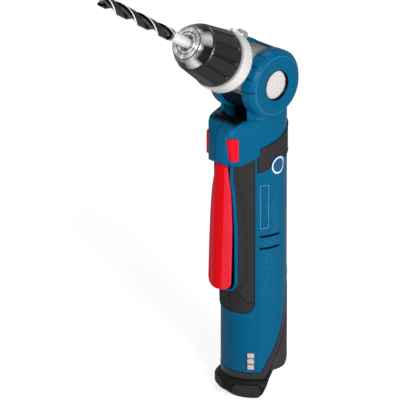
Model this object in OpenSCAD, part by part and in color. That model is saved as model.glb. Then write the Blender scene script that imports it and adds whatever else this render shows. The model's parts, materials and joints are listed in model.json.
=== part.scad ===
// Right angle drill, cordless, head that swivels between square and straight.
// The handle axis is +Z, the trigger faces -Y, the base stands on Z = 0.

/* [Handle] */
// Radius of the round handle
barrel_r = 24; // [20:0.5:30]
// Thickness of the housing wall
wall = 2.2; // [1.6:0.1:4]
// Height of the housing's lower edge at the front
edge_z = 21.4; // [18:0.2:26]
// Height where the round barrel stops under the fork
barrel_top = 231.5; // [226:0.5:233]
// Radius of the rounded ridge behind the trigger
ridge_r = 11; // [8:0.5:14]
// Distance of that ridge's centre in front of the axis
ridge_c = 19.5; // [16:0.5:24]
// Flat the trigger closes against, in front of the axis
flat_y = 27.2; // [25:0.2:32]
// Lower end of the ridge
ridge_bottom = 84; // [76:1:92]
// Radius of the switch housing
nose_r = 15.7; // [12:0.1:18]
// Distance of the switch housing's centre in front of the axis
nose_c = 24.3; // [20:0.1:28]
// Underside of the switch housing
nose_bottom = 187; // [180:1:192]
// Top of the switch housing
nose_top = 219.4; // [212:0.2:220]
// Thickness of the rubber pads
pad_t = 0.7; // [0.4:0.1:1.5]

/* [Head] */
// Height of the swivel axis
pivot_z = 244; // [240:1:252]
// Lean of the chuck above the horizontal as photographed, degrees
lean = 33.75; // [0:11.25:90]
// Radius of the fork's discs
cheek_r = 26; // [24:0.5:30]
// Outer face of a disc from the middle plane
cheek_out = 23.8; // [20:0.2:28]
// Inner face of a disc from the middle plane
cheek_in = 13; // [12:0.2:16]
// Chamfer round a disc
cheek_ch = 4.2; // [1:0.2:6]
// Radius of the head's drum
drum_r = 23.4; // [21:0.1:25]
// Half width of the head's drum
drum_w = 12.6; // [11:0.1:14]
// Radius of the lock button
button_r = 10.8; // [8:0.2:13]
// Distance from the swivel axis to the silver collar
collar_l = 31; // [29:0.5:36]
// Length of the silver collar
collar_h = 12.4; // [8:0.2:16]
// Radius of the silver collar
collar_r = 22.8; // [20:0.2:25]

/* [Chuck] */
// Radius of the chuck sleeve at its rear
sleeve_r = 21.6; // [18:0.2:24]
// Radius of the chuck sleeve at its front
sleeve_r2 = 18; // [14:0.2:22]
// Length of the chuck sleeve
sleeve_h = 30; // [24:0.5:40]
// Length of the bright nose in front of the sleeve
nose_h = 9.4; // [4:0.2:12]
// Radius of the chuck's front face
face_r = 11.8; // [9:0.2:16]
// Radius of the drill bit's shank
shank_r = 4; // [2:0.1:5]
// Radius over the drill bit's flutes
flute_r = 4.75; // [2:0.05:5]
// Distance from the swivel axis to the tip of the drill bit
tip_l = 187; // [140:1:220]

/* [Trigger] */
// Half width of the trigger
trig_w = 11; // [8:0.2:13]
// Lower end of the trigger
trig_bottom = 90; // [80:1:100]
// Front of the trigger's ridge at its lower end
trig_front = 39.2; // [33:0.2:41]
// Lean of the trigger's ridge, degrees
trig_lean = 2; // [0:0.2:6]
// Drop of the trigger's side edges behind its ridge
trig_drop = 3.3; // [0.5:0.1:5]
// Thickness of the trigger's side edges
trig_edge = 1.4; // [1:0.1:3]

/* [Motor] */
// Radius of the motor can
motor_r = 17.8; // [14:0.1:20]
// Lower face of the motor can
motor_z = 114; // [108:1:120]
// Length of the motor can
motor_h = 51; // [40:1:60]
// Module of the planetary teeth
spur_m = 0.8; // [0.6:0.05:1]
// Module of the bevel teeth
bevel_m = 1.5; // [1.2:0.05:1.7]

/* [Battery] */
// Radius of the part of the pack that slides into the handle
stem_r = 21.4; // [18:0.1:21.5]
// Top of the pack
stem_top = 88; // [80:1:92]
// Radius of one cell
cell_r = 9.2; // [8:0.1:9.4]
// Length of one cell
cell_h = 50; // [40:1:54]
// Largest radius of the pack's foot
foot_r = 28; // [25:0.2:32]

/* [Hidden] */
$fn = 96;
tiny = 0.02;
far = 400;
fit = 0.04;
gap = 0.35;
slide_gap = 0.3;
label_in = 0.2;
in_r = barrel_r - wall;
blue = [0.03, 0.35, 0.55];
red = [0.85, 0.02, 0.05];
rubber = [0.2, 0.19, 0.19];
black = [0.1, 0.1, 0.1];
silver = [0.8, 0.8, 0.82];
steel = [0.6, 0.61, 0.63];
brass = [0.75, 0.6, 0.25];
white = [0.9, 0.88, 0.87];

// Side outline of the housing's lower edge, front to back
edge_line = [[-13, edge_z], [-10.3, 26.6], [-6.5, 33.6], [-2, 41], [3.2, 51], [6.9, 60],
  [9.9, 69], [12, 78.4], [14.4, 88], [18, 95], [22, 99]];
trim_dy = 3.2;
trim_dz = 5;
pack_gap = 0.4;
// Underside of the pack, front to back
sole_line = [[-12, 0], [-11.6, 2], [-3.3, 20], [10.4, 22.7], [17.9, 26.6], [25, 32]];
// Flared foot of the pack, radius and height
foot_h = 22;
foot_sole = 8;
foot_flare = 1.4;
foot_neck = barrel_r + pack_gap;
foot_line = [[0, 0], [foot_r - foot_sole, 0], [foot_r - foot_flare, 5.4], [foot_r, 7.4], [foot_r, 12],
  [foot_neck, 16.2], [foot_neck, foot_h], [0, foot_h]];
pack_proud = 0.3;
// Side outline of the switch housing's top, from its front and top
nose_curve = [[-20, -19.4], [0.1, -16.4], [1.4, -9.4], [4.8, -3.6], [9.5, -0.6], [14, 0]];
nose_front = nose_c + nose_r;
nose_line = concat([for (p = nose_curve) [p[0] - nose_front, p[1] + nose_top]],
  [[0, nose_top], [0, far], [nose_curve[0][0] - nose_front, far]]);
nose_foot_y = 36;
nose_foot_h = 4;
// Rising underside of the switch housing, distance from the axis and height above its lowest point
nose_rise = [[-27, 0], [-8, 7], [4, 12]];
nose_lift = 13;
// Side outline of the rear rubber band
band_line = [[-15.2, 178.6], [-7.5, 181.5], [12, 187], [26, 190], [26, 211], [12.6, 206.6],
  [6.4, 204.5], [-6, 200.4], [-15.2, 197.1]];
badge_y = 1.6;
badge_z = 181.6;
badge_r = 6.6;
badge_rim = 8.4;
// Front pad mask on the diagonal, across and up
pad_u0 = -13.2;
pad_u1 = 0.7;
pad_low = 68.5;
pad_corner = 8;
pad_top0 = 186.5;
pad_top1 = 193;
pad_join = 87;
screw_at = [[-28.5, 213.5], [-24.4, 190.5], [18.4, 104], [15.6, 207]];
screw_r = 1.5;
screw_head = 2.7;
boss_r = 3.4;
screw_in = 12;
screw_seat = 5;
// Swivel parts
drum_gap = 0.5;
trough_r = drum_r + drum_gap;
bridge_a0 = 130;
bridge_a1 = 262;
trunnion_r = 7;
trunnion_x = 17;
hole_r = button_r + gap;
button_sink = 2;
button_out = cheek_out - button_sink;
button_t = 2.4;
button_reach = 1.8;
button_floor = 17.4;
stem_pin_r = 3.4;
shaft_r = 4;
slot_room = 1.6;
shaft_slot = shaft_r + slot_room;
shaft_over = 1;
cavity_r = 18.2;
cavity_w = 10.2;
neck_h = 14.5;
spindle_r = 5;
bearing_r = 10;
bearing_l0 = 19.4;
bearing_l1 = 28;
spindle_l1 = 54;
chuck_l = collar_l + collar_h + gap;
sleeve_l1 = chuck_l + sleeve_h;
face_l = sleeve_l1 + nose_h;
chuck_core_r = 15;
// Gear sizes
bevel_z = 10;
idler_z = 16;
cone = atan(bevel_z / idler_z);
bevel_pr = bevel_m * bevel_z / 2;
idler_pr = bevel_m * idler_z / 2;
bevel_face = 3.6;
bevel_add_share = 0.75;
bevel_ded_share = 1.1;
slack_deg = 1.6;
sun_z = 12;
planet_z = 15;
ring_z = 42;
planet_c = spur_m * (sun_z + planet_z) / 2;
spur_add_share = 0.8;
spur_ded_share = 1.15;
gear_z0 = 171;
gear_h = 7;
sun_bore = 1.6;
planet_pin = 1.6;
cover_z = 184;
ring_gap = 1.2;
ring_r = in_r - ring_gap;

inv_pa = 0.854;
function inv_deg(c) = (sqrt(1 - c * c) / c) * 180 / PI - acos(c);
function half_deg(rho, pr, z, slack) = 90 / z - slack + inv_pa
  - inv_deg(min(1, pr * cos(20) / rho));
// Tooth outline of a straight gear
module spur2(z, slack, add, ded) {
  pr = spur_m * z / 2;
  r0 = pr - ded;
  rr = [max(r0, pr * cos(20)), pr * 0.985, pr, pr + add / 2, pr + add];
  polygon([for (i = [0:z - 1]) each concat(
    [[r0 * cos(i * 360 / z - 180 / z), r0 * sin(i * 360 / z - 180 / z)]],
    [for (k = [0:4]) let (t = i * 360 / z - half_deg(rr[k], pr, z, slack))
      [rr[k] * cos(t), rr[k] * sin(t)]],
    [for (k = [4:-1:0]) let (t = i * 360 / z + half_deg(rr[k], pr, z, slack))
      [rr[k] * cos(t), rr[k] * sin(t)]])]);
}
// Bevel gear about +Z, large end at its own pitch circle, apex at the origin above
module bevel(z, pr, cg, slack) {
  ax = pr / tan(cg);
  zv = z / cos(cg);
  pv = pr / cos(cg);
  hh = [-bevel_ded_share, -0.45, 0, bevel_add_share / 2, bevel_add_share];
  th = [for (k = [0:4]) half_deg(max(pv + hh[k] * bevel_m, pv * cos(20)), pv, zv, slack) / cos(cg)];
  ra = [for (k = [0:4]) (pr + hh[k] * bevel_m * cos(cg)) * ax / (ax - hh[k] * bevel_m * sin(cg))];
  translate([0, 0, -ax])
    linear_extrude(height = bevel_face, scale = (ax - bevel_face) / ax)
      polygon([for (i = [0:z - 1]) each concat(
        [[ra[0] * cos(i * 360 / z - 180 / z), ra[0] * sin(i * 360 / z - 180 / z)]],
        [for (k = [0:4]) let (t = i * 360 / z - th[k]) [ra[k] * cos(t), ra[k] * sin(t)]],
        [for (k = [4:-1:0]) let (t = i * 360 / z + th[k]) [ra[k] * cos(t), ra[k] * sin(t)]])]);
}

// Placing helpers
module at_pivot() { translate([0, 0, pivot_z]) children(); }
// Local +Z runs along the chuck axis, local +X stays +X
module along_chuck() { at_pivot() rotate([90 - lean, 0, 0]) children(); }
module along_x() { rotate([0, 90, 0]) children(); }
module side_cut(w) { rotate([90, 0, 90]) translate([0, 0, -w]) linear_extrude(2 * w) children(); }
module rod_x(x0, x1, r) { translate([x0, 0, 0]) rotate([0, 90, 0]) cylinder(h = x1 - x0, r = r); }
module tube(h, r, ri) {
  difference() {
    cylinder(h = h, r = r);
    translate([0, 0, -tiny]) cylinder(h = h + 2 * tiny, r = ri);
  }
}
module ring_sector(r0, r1, z0, z1, a0, a1) {
  rotate([0, 0, a0]) rotate_extrude(angle = a1 - a0)
    translate([r0, z0]) square([r1 - r0, z1 - z0]);
}
module half(s) {
  translate([s > 0 ? 0 : -far, -far, -far]) cube([far, 2 * far, 2 * far]);
}

// Plan outlines
module egg2(r, c, g) {
  a = asin((barrel_r - r) / c);
  circle(r = barrel_r + g - tiny);
  translate([0, -c]) circle(r = r + g);
  br = barrel_r + g - 3 * tiny;
  sr = r + g - tiny;
  polygon([[br * cos(a), -br * sin(a)], [sr * cos(a), -c - sr * sin(a)],
    [-sr * cos(a), -c - sr * sin(a)], [-br * cos(a), -br * sin(a)]]);
}
module above_edge(dy, dz) {
  side_cut(far / 2) polygon(concat([[-far / 2, edge_line[0][1] + dz]],
    [for (p = edge_line) [p[0] + dy, p[1] + dz]],
    [[far / 2, edge_line[len(edge_line) - 1][1] + dz], [far / 2, far], [-far / 2, far]]));
}
module below_edge(dy, dz) {
  side_cut(far / 2) polygon(concat([[-far / 2, edge_line[0][1] + dz]],
    [for (p = edge_line) [p[0] + dy, p[1] + dz]],
    [[far / 2, edge_line[len(edge_line) - 1][1] + dz], [far / 2, -far], [-far / 2, -far]]));
}

// Housing
ridge_run = 7;
ridge_in = 4;
module ridge_solid(g) {
  difference() {
    translate([0, 0, ridge_bottom - ridge_run]) linear_extrude(nose_bottom + nose_lift - ridge_bottom + ridge_run)
      egg2(ridge_r, ridge_c, g);
    translate([-far / 2, -far - flat_y - g, 0]) cube([far, far, far]);
    side_cut(far / 2) polygon([[-far / 2, 0], [-barrel_r + ridge_in, 0],
      [-barrel_r + ridge_in, ridge_bottom - ridge_in * ridge_run / (flat_y - barrel_r)],
      [-flat_y - g - tiny, ridge_bottom + ridge_run], [-far / 2, ridge_bottom + ridge_run]]);
  }
}
module nose_solid(g) {
  difference() {
    translate([0, 0, nose_bottom - g]) linear_extrude(nose_top - nose_bottom + g)
      egg2(nose_r, nose_c, g);
    side_cut(far / 2) polygon([for (p = nose_line) [p[0] - g, p[1] + g]]);
    side_cut(far / 2) polygon([[-far / 2, 0], [-nose_foot_y - g, nose_bottom - g - tiny],
      [-nose_foot_y - nose_foot_h - g, nose_bottom + nose_foot_h], [-far / 2, nose_bottom + nose_foot_h]]);
    side_cut(far / 2) polygon(concat([[nose_rise[0][0], 0]], [for (p = nose_rise) [p[0], p[1] + nose_bottom - g - tiny]],
      [[far / 2, nose_bottom + nose_lift], [far / 2, 0]]));
  }
}
module fork_solid() {
  at_pivot() rotate([0, 90, 0]) {
    translate([0, 0, cheek_ch - cheek_out]) cylinder(h = 2 * (cheek_out - cheek_ch), r = cheek_r);
    translate([0, 0, cheek_out - cheek_ch]) cylinder(h = cheek_ch, r1 = cheek_r, r2 = cheek_r - cheek_ch);
    translate([0, 0, -cheek_out]) cylinder(h = cheek_ch, r1 = cheek_r - cheek_ch, r2 = cheek_r);
  }
}
// Room for the head between the discs, open at the front and over the top
module fork_slot() {
  at_pivot() rotate([90, 0, -90]) translate([0, 0, -cheek_in]) linear_extrude(2 * cheek_in) {
    circle(r = trough_r);
    difference() {
      circle(r = cheek_r + wall);
      polygon(concat([[0, 0]], [for (a = [bridge_a0:(bridge_a1 - bridge_a0) / 4:bridge_a1])
        [far * cos(a), far * sin(a)]]));
    }
    translate([0, nose_top - pivot_z]) square([far, trough_r]);
  }
}
// Outline of one cut that narrows the neck under the discs, across and up
neck_z0 = 203;
neck_z1 = 226;
neck_in = 2.4;
neck_half = cheek_out - neck_in;
neck_cut = [[barrel_r + label_in, neck_z0], [neck_half, neck_z1], [neck_half, far], [far, far], [far, neck_z0]];
module neck_sides(g) {
  for (s = [0, 1]) mirror([s, 0, 0]) rotate([90, 0, 0]) translate([0, 0, -far / 2]) linear_extrude(far)
    translate([-g, 0]) polygon(neck_cut);
}
module outer_shape() {
  difference() {
    union() {
      cylinder(h = barrel_top, r = barrel_r);
      ridge_solid(0);
      nose_solid(0);
    }
    neck_sides(0);
  }
}
motor_ribs = [121.6, 158];
rib_t = 3;
stem_slot = 7;
stem_half = 6.5;
slot_back = 15;
switch_z = 99;
switch_h = 13;
switch_y0 = -17;
switch_y1 = 4;
switch_w = 8.5;
plate_z = 90;
plate_h = 7;
trig_gap = 0.8;
trig_top = nose_bottom - trig_gap;
pin_in = 2.2;
pin_drop = 5.2;
pin_y = pin_in - flat_y;
pin_z = trig_top - pin_drop;
pin_r = 1.5;
pin_half = 8.8;
sel_g = 0.2;
sel_proud = 1.4;
// Side outline of the direction slide, from the switch housing's front and top
sel_line = [[2.7, -10.9], [8.8, -10.9], [9, -28], [4.4, -28]];
sel_grow = [[-1, 1], [1, 1], [1, -1], [-1, -1]];
module sel2(g) {
  polygon([for (k = [0:3]) sel_line[k] + g * sel_grow[k] + [-nose_front, nose_top]]);
}
vent_z = [118, 127.4];
vent_h = 2;
vent_a0 = -35;
vent_a1 = 7;
label_a0 = -35;
label_a1 = -17;
label_z0 = 134;
label_z1 = 169;
label_t = 0.6;
win_a0 = -59;
win_a1 = -43.5;
win_z0 = 23.6;
win_z1 = 37.2;
win_t = 0.9;
light_h = 3;
module inside() {
  intersection() {
    union() {
      translate([0, 0, -tiny]) cylinder(h = barrel_top, r = in_r);
      translate([0, 0, ridge_bottom + ridge_run + wall])
        linear_extrude(nose_bottom - ridge_bottom - ridge_run) difference() {
          egg2(ridge_r - wall, ridge_c, 0);
          translate([-far / 2, -far - flat_y + wall]) square([far, far]);
          difference() {
            circle(r = far);
            circle(r = in_r);
            translate([-ridge_r, -far]) square([2 * ridge_r, far]);
          }
        }
      difference() {
        translate([0, 0, nose_bottom + wall]) linear_extrude(nose_top - nose_bottom - 2 * wall) {
          circle(r = in_r - tiny);
          translate([0, -nose_c]) circle(r = nose_r - wall);
        }
        side_cut(far / 2) polygon([for (p = nose_line) [p[0] + wall, p[1] - wall]]);
      }
    }
    difference() {
      translate([-far / 2, -far / 2, -far / 2]) cube([far, far, 2 * far]);
      at_pivot() rod_x(-far, far, cheek_r);
      neck_sides(wall);
    }
  }
}
module bosses(s) {
  intersection() {
    half(s);
    union() {
      intersection() {
        for (p = screw_at) translate([0, p[0], p[1]]) rod_x(-cheek_out, cheek_out, boss_r);
        outer_shape();
      }
      for (z = motor_ribs) translate([0, 0, z]) tube(rib_t, in_r + tiny, motor_r);
      translate([0, 0, cover_z]) tube(rib_t, in_r + tiny, ring_r);
      translate([0, 0, gear_z0]) tube(rib_t, in_r + tiny, ring_r);
      translate([0, 0, plate_z]) tube(plate_h, in_r + tiny, stem_r - wall);
    }
  }
}
module trigger_void() {
  translate([-stem_slot, -far, trig_bottom + wall]) cube([2 * stem_slot, far - slot_back, pin_z + rib_t - trig_bottom]);
  translate([-trig_w - slide_gap, -far - flat_y, trig_bottom - wall])
    cube([2 * (trig_w + slide_gap), far, trig_top + 2 * slide_gap - trig_bottom + wall]);
}
module housing(s) {
  intersection() {
    half(s);
    difference() {
      union() {
        intersection() {
          difference() {
            outer_shape();
            inside();
          }
          above_edge(0, 0);
        }
        difference() {
          fork_solid();
          at_pivot() rod_x(-far, far, trunnion_r + fit);
          at_pivot() rod_x(s > 0 ? button_floor : -far, s > 0 ? far : -button_floor, hole_r);
        }
        bosses(s);
      }
      fork_slot();
      // bore of the drive shaft
      translate([0, 0, nose_bottom + wall]) cylinder(h = far, r = shaft_slot);
      trigger_void();
      translate([0, pin_y, pin_z]) rod_x(-pin_half, pin_half, pin_r);
      side_cut(far / 2) sel2(sel_g);
      for (z = vent_z) ring_sector(in_r - wall, barrel_r + wall, z, z + vent_h, vent_a0, vent_a1);
      for (z = vent_z) mirror([1, 0, 0])
        ring_sector(in_r - wall, barrel_r + wall, z, z + vent_h, vent_a0, vent_a1);
      if (s > 0) {
        ring_sector(barrel_r - label_t - label_in, barrel_r + wall, label_z0, label_z1, label_a0, label_a1);
        ring_sector(in_r - wall, barrel_r + wall, win_z0, win_z1, win_a0, win_a1);
        translate([0, badge_y, badge_z]) rod_x(barrel_r - label_t - wall, far, badge_r);
      }
      // screw holes, heads on the left
      for (p = screw_at) translate([0, p[0], p[1]]) {
        rod_x(-far, screw_in, screw_r);
        rod_x(-far, -screw_seat, screw_head + gap);
      }
      translate([0, 0, plate_z]) cylinder(h = plate_h, r = stem_r - wall);
    }
  }
}
module left_housing() { color(blue) housing(-1); }
module right_housing() { color(blue) housing(1); }

// Rubber pads
module diag(w) { rotate([0, 0, 45]) rotate([90, 0, 0]) linear_extrude(w) children(); }
module pad_mask() {
  diag(far) difference() {
    union() {
      translate([pad_u0, pad_join]) square([pad_u1 - pad_u0, far]);
      translate([-far, pad_low]) square([far + pad_u1 - pad_corner, pad_join - pad_low]);
      translate([-far, pad_low + pad_corner]) square([far + pad_u1, pad_join - pad_low - pad_corner]);
      translate([pad_u1 - pad_corner, pad_low + pad_corner]) circle(r = pad_corner);
    }
    polygon([[pad_u0 - tiny, pad_top0], [pad_u1 + tiny, pad_top1], [pad_u1 + far, far], [pad_u0 - tiny, far]]);
  }
}
module skin_grown(g) {
  translate([0, 0, pad_low - tiny]) cylinder(h = far / 2, r = barrel_r + g);
  ridge_solid(g);
}
module front_pad() {
  intersection() {
    difference() {
      skin_grown(pad_t);
      cylinder(h = far, r = barrel_r);
      ridge_solid(0);
      nose_solid(0);
      translate([-far / 2, -far - flat_y, 0]) cube([far, far, far]);
      trigger_void();
      for (p = screw_at) translate([0, p[0], p[1]]) rod_x(-far, far, screw_head + gap);
    }
    pad_mask();
    half(1);
  }
}
module right_pad() { color(rubber) front_pad(); }
module left_pad() { color(rubber) mirror([1, 0, 0]) front_pad(); }
module rear_pad() {
  difference() {
    intersection() {
      difference() {
        cylinder(h = barrel_top, r = barrel_r + pad_t);
        outer_shape();
        translate([0, 0, -tiny]) cylinder(h = far, r = barrel_r - label_in);
      }
      side_cut(far / 2) polygon(band_line);
      half(1);
    }
    translate([0, badge_y, badge_z]) rod_x(0, far, badge_rim);
    translate([0, -nose_c, 0]) cylinder(h = far, r = nose_r + tiny);
  }
}
module right_rear_pad() { color(rubber) rear_pad(); }
module left_rear_pad() { color(rubber) mirror([1, 0, 0]) rear_pad(); }
module lower_trim() {
  color(rubber) intersection() {
    difference() {
      cylinder(h = barrel_top, r = barrel_r);
      translate([0, 0, -tiny]) cylinder(h = far, r = in_r);
    }
    below_edge(0, 0);
    above_edge(trim_dy, -trim_dz);
  }
}
module label_plate() {
  color(blue) ring_sector(barrel_r - label_t - label_in, barrel_r - label_in, label_z0, label_z1, label_a0, label_a1);
}
module badge_plate() {
  color(white) intersection() {
    translate([0, badge_y, badge_z]) rod_x(barrel_r - label_t - wall, far, badge_r);
    translate([0, 0, pad_low]) tube(far, barrel_r - label_in, in_r);
  }
}
module indicator_window() {
  color(white) ring_sector(barrel_r - win_t - label_in, barrel_r - label_in, win_z0, win_z1, win_a0, win_a1);
}
module indicator_lights() {
  step = (win_z1 - win_z0) / 3;
  color(silver) for (k = [0:2])
    ring_sector(in_r, barrel_r - win_t - label_in, win_z0 + step * k + (step - light_h) / 2,
      win_z0 + step * k + (step + light_h) / 2, win_a0, win_a1);
}
module housing_screws() {
  color(steel) for (p = screw_at) translate([0, p[0], p[1]]) {
    rod_x(-screw_seat - wall, -screw_seat, screw_head);
    rod_x(-screw_seat - tiny, screw_in, screw_r);
  }
}

// Trigger and switches
trig_thick = trig_drop + trig_edge;
trig_corner = 6.5;
// Share of the trigger's length, and its half width there as a share of trig_w
trig_taper = [[0.38, 1], [0.53, 0.96], [0.65, 0.88], [0.76, 0.79], [0.82, 0.7], [0.88, 0.58], [0.94, 0.47], [1, 0.4]];
trig_len = trig_top - trig_bottom;
pusher_z = 105;
pusher_h = 9;
pusher_back = 22.6;
hinge_r = 3.2;
stem_depth = 7.5;
stem_neck = 3.6;
neck_from = 0.62;
module trigger_stem2(top) {
  translate([-trig_front, trig_bottom]) rotate(-trig_lean) translate([trig_drop, pusher_h])
    square([stem_depth + trig_edge, top - pusher_h]);
}
module trigger() {
  color(red) difference() {
    union() {
      intersection() {
        translate([0, -trig_front, trig_bottom]) rotate([-trig_lean, 0, 0])
          translate([0, 0, -wall]) linear_extrude(trig_len + 2 * wall)
            polygon([[0, 0], [trig_w, trig_drop], [trig_w, trig_thick], [-trig_w, trig_thick], [-trig_w, trig_drop]]);
        rotate([90, 0, 0]) linear_extrude(far) translate([0, trig_bottom]) {
          polygon(concat([[trig_w, trig_corner]], [for (p = trig_taper) [p[1] * trig_w, p[0] * trig_len]],
            [for (i = [len(trig_taper) - 1:-1:0]) [-trig_taper[i][1] * trig_w, trig_taper[i][0] * trig_len]],
            [[-trig_w, trig_corner]]));
          translate([trig_corner - trig_w, 0]) square([2 * (trig_w - trig_corner), trig_corner + tiny]);
          for (s = [-1, 1]) translate([s * (trig_w - trig_corner), trig_corner]) circle(r = trig_corner - tiny);
        }
      }
      side_cut(stem_neck) trigger_stem2(pin_z - trig_bottom);
      side_cut(stem_half) {
        trigger_stem2(neck_from * trig_len);
        translate([-flat_y - wall, pusher_z - pusher_h / 2]) square([flat_y + wall - pusher_back, pusher_h]);
        translate([pin_y, pin_z]) circle(r = hinge_r);
        translate([pin_y - hinge_r, pin_z - 2 * hinge_r]) square([2 * hinge_r, 2 * hinge_r]);
      }
    }
    translate([0, pin_y, pin_z]) rod_x(-far, far, pin_r + fit);
  }
}
module trigger_pin() { color(steel) translate([0, pin_y, pin_z]) rod_x(-pin_half, pin_half, pin_r); }
spring_w = 0.4;
module trigger_spring() {
  color(steel) translate([0, pin_y, pin_z]) for (s = [-1, 1]) difference() {
    rod_x(s > 0 ? stem_half + spring_w / 4 : -stem_slot + tiny, s > 0 ? stem_slot - tiny : -stem_half - spring_w / 4,
      hinge_r - wall / 4);
    rod_x(-far, far, pin_r + fit);
  }
}
plunger_r = 2.4;
plunger_tip = -22;
plunger_end = -11;
plunger_room = 6;
module switch_box() {
  color(black) difference() {
    translate([-switch_w, switch_y0, switch_z]) cube([2 * switch_w, switch_y1 - switch_y0, switch_h]);
    translate([0, plunger_end + plunger_room, pusher_z]) rotate([90, 0, 0]) cylinder(h = far, r = plunger_r + fit);
  }
}
module switch_plunger() {
  color(red) translate([0, plunger_end, pusher_z]) rotate([90, 0, 0])
    cylinder(h = plunger_end - plunger_tip, r = plunger_r);
}
module selector() {
  color(red) intersection() {
    side_cut(far / 2) sel2(0);
    translate([0, -nose_c, 0]) cylinder(h = far, r = nose_r + sel_proud);
  }
}
rev_y0 = -30.4;
rev_y1 = -22;
rev_z0 = 195;
rev_h = 9;
rev_w = 9;
module reverse_switch() {
  color(black) translate([-rev_w, rev_y0, rev_z0]) cube([2 * rev_w, rev_y1 - rev_y0, rev_h]);
}
blade_x = 6;
blade_w = 3;
blade_t = 0.8;
blade_low = 85.2;
module terminal_block() {
  color(black) difference() {
    translate([0, 0, plate_z]) cylinder(h = plate_h, r = stem_r - wall);
    for (s = [-1, 1]) translate([s * blade_x - blade_t / 2, -blade_w, plate_z - tiny])
      cube([blade_t, 2 * blade_w, plate_h - wall]);
    trigger_void();
    for (p = screw_at) translate([0, p[0], p[1]]) rod_x(-far, far, boss_r + gap);
  }
}
module terminal_blades() {
  color(brass) for (s = [-1, 1]) translate([s * blade_x - blade_t / 2, -blade_w, blade_low])
    cube([blade_t, 2 * blade_w, plate_z + plate_h - wall - blade_low - tiny]);
}

// Motor and planetary stage
end_h = 4;
module motor_can() {
  color(steel) difference() {
    translate([0, 0, motor_z]) cylinder(h = motor_h, r = motor_r);
    translate([0, 0, motor_z - tiny]) cylinder(h = motor_h - wall, r = motor_r - wall / 2);
    translate([0, 0, motor_z]) cylinder(h = far, r = spindle_r);
  }
}
module motor_end() {
  color(black) difference() {
    translate([0, 0, motor_z]) cylinder(h = end_h, r = motor_r - wall / 2);
    translate([0, 0, motor_z - tiny]) cylinder(h = far, r = sun_bore + fit);
  }
}
arm_r = 12;
arm_gap = 3;
fan_room = 8;
arm_z0 = motor_z + end_h + arm_gap;
arm_z1 = motor_z + motor_h - fan_room;
module motor_shaft() {
  color(steel) {
    translate([0, 0, motor_z - gap]) cylinder(h = gear_z0 + gear_h - motor_z, r = sun_bore);
    translate([0, 0, arm_z0]) cylinder(h = arm_z1 - arm_z0, r = arm_r);
  }
}
fan_h = 4;
module motor_fan() {
  color(black) translate([0, 0, arm_z1 + gap]) linear_extrude(fan_h) difference() {
    union() {
      circle(r = spindle_r);
      for (k = [0:7]) rotate(45 * k) translate([spindle_r / 2, -blade_t / 2])
        square([arm_r + wall - spindle_r / 2, blade_t]);
    }
    circle(r = sun_bore);
  }
}
module sun_gear() {
  color(brass) difference() {
    translate([0, 0, gear_z0]) linear_extrude(gear_h)
      spur2(sun_z, slack_deg, spur_add_share * spur_m, spur_ded_share * spur_m);
    translate([0, 0, gear_z0 - tiny]) cylinder(h = far, r = sun_bore);
  }
}
ring_z0 = 167;
module ring_gear() {
  color(black) difference() {
    translate([0, 0, ring_z0]) cylinder(h = cover_z + rib_t - ring_z0, r = ring_r);
    translate([0, 0, ring_z0 + wall]) linear_extrude(far)
      spur2(ring_z, -slack_deg / 3, spur_ded_share * spur_m, spur_add_share * spur_m);
    translate([0, 0, ring_z0 - tiny]) cylinder(h = far, r = spindle_r + wall);
  }
}
cover_in = 15.6;
cover_t = 2.6;
module gearbox_cover() {
  color(silver) difference() {
    union() {
      translate([0, 0, cover_z + rib_t]) cylinder(h = cover_t, r = ring_r);
      translate([0, 0, cover_z + rib_t]) cylinder(h = snout_h, r = bush_r + wall);
    }
    translate([0, 0, cover_z]) cylinder(h = far, r = bush_r);
    for (p = screw_at) translate([0, p[0], p[1]]) rod_x(-far, far, boss_r + gap);
  }
}
bush_r = 7;
snout_h = 13;
module drive_bushing() {
  color(brass) translate([0, 0, cover_z + rib_t]) tube(snout_h, bush_r, shaft_r + fit);
}
module planet(k) {
  color(steel) rotate([0, 0, 120 * k]) translate([planet_c, 0, gear_z0]) difference() {
    linear_extrude(gear_h) spur2(planet_z, slack_deg, spur_add_share * spur_m, spur_ded_share * spur_m);
    translate([0, 0, -tiny]) cylinder(h = far, r = planet_pin + fit);
  }
}
module planet_1() { planet(0); }
module planet_2() { planet(1); }
module planet_3() { planet(2); }
plate_t = 3.5;
pinion_z = pivot_z - bevel_pr / tan(cone);
hub_h = 4;
hub_r = 5;
module carrier() {
  color(steel) {
    translate([0, 0, gear_z0 + gear_h + gap]) cylinder(h = plate_t, r = cover_in - gap);
    for (k = [0:2]) rotate([0, 0, 120 * k]) translate([planet_c, 0, gear_z0])
      cylinder(h = gear_h + 2 * gap, r = planet_pin);
    translate([0, 0, gear_z0 + gear_h + gap]) cylinder(h = pinion_z + shaft_over - gear_z0 - gear_h, r = shaft_r);
  }
}
module bevel_pinion() {
  color(steel) difference() {
    union() {
      at_pivot() bevel(bevel_z, bevel_pr, cone, slack_deg);
      translate([0, 0, pinion_z - hub_h]) cylinder(h = hub_h + tiny, r = hub_r);
    }
    translate([0, 0, gear_z0]) cylinder(h = pinion_z + shaft_over + gap - gear_z0, r = shaft_r);
  }
}

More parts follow.
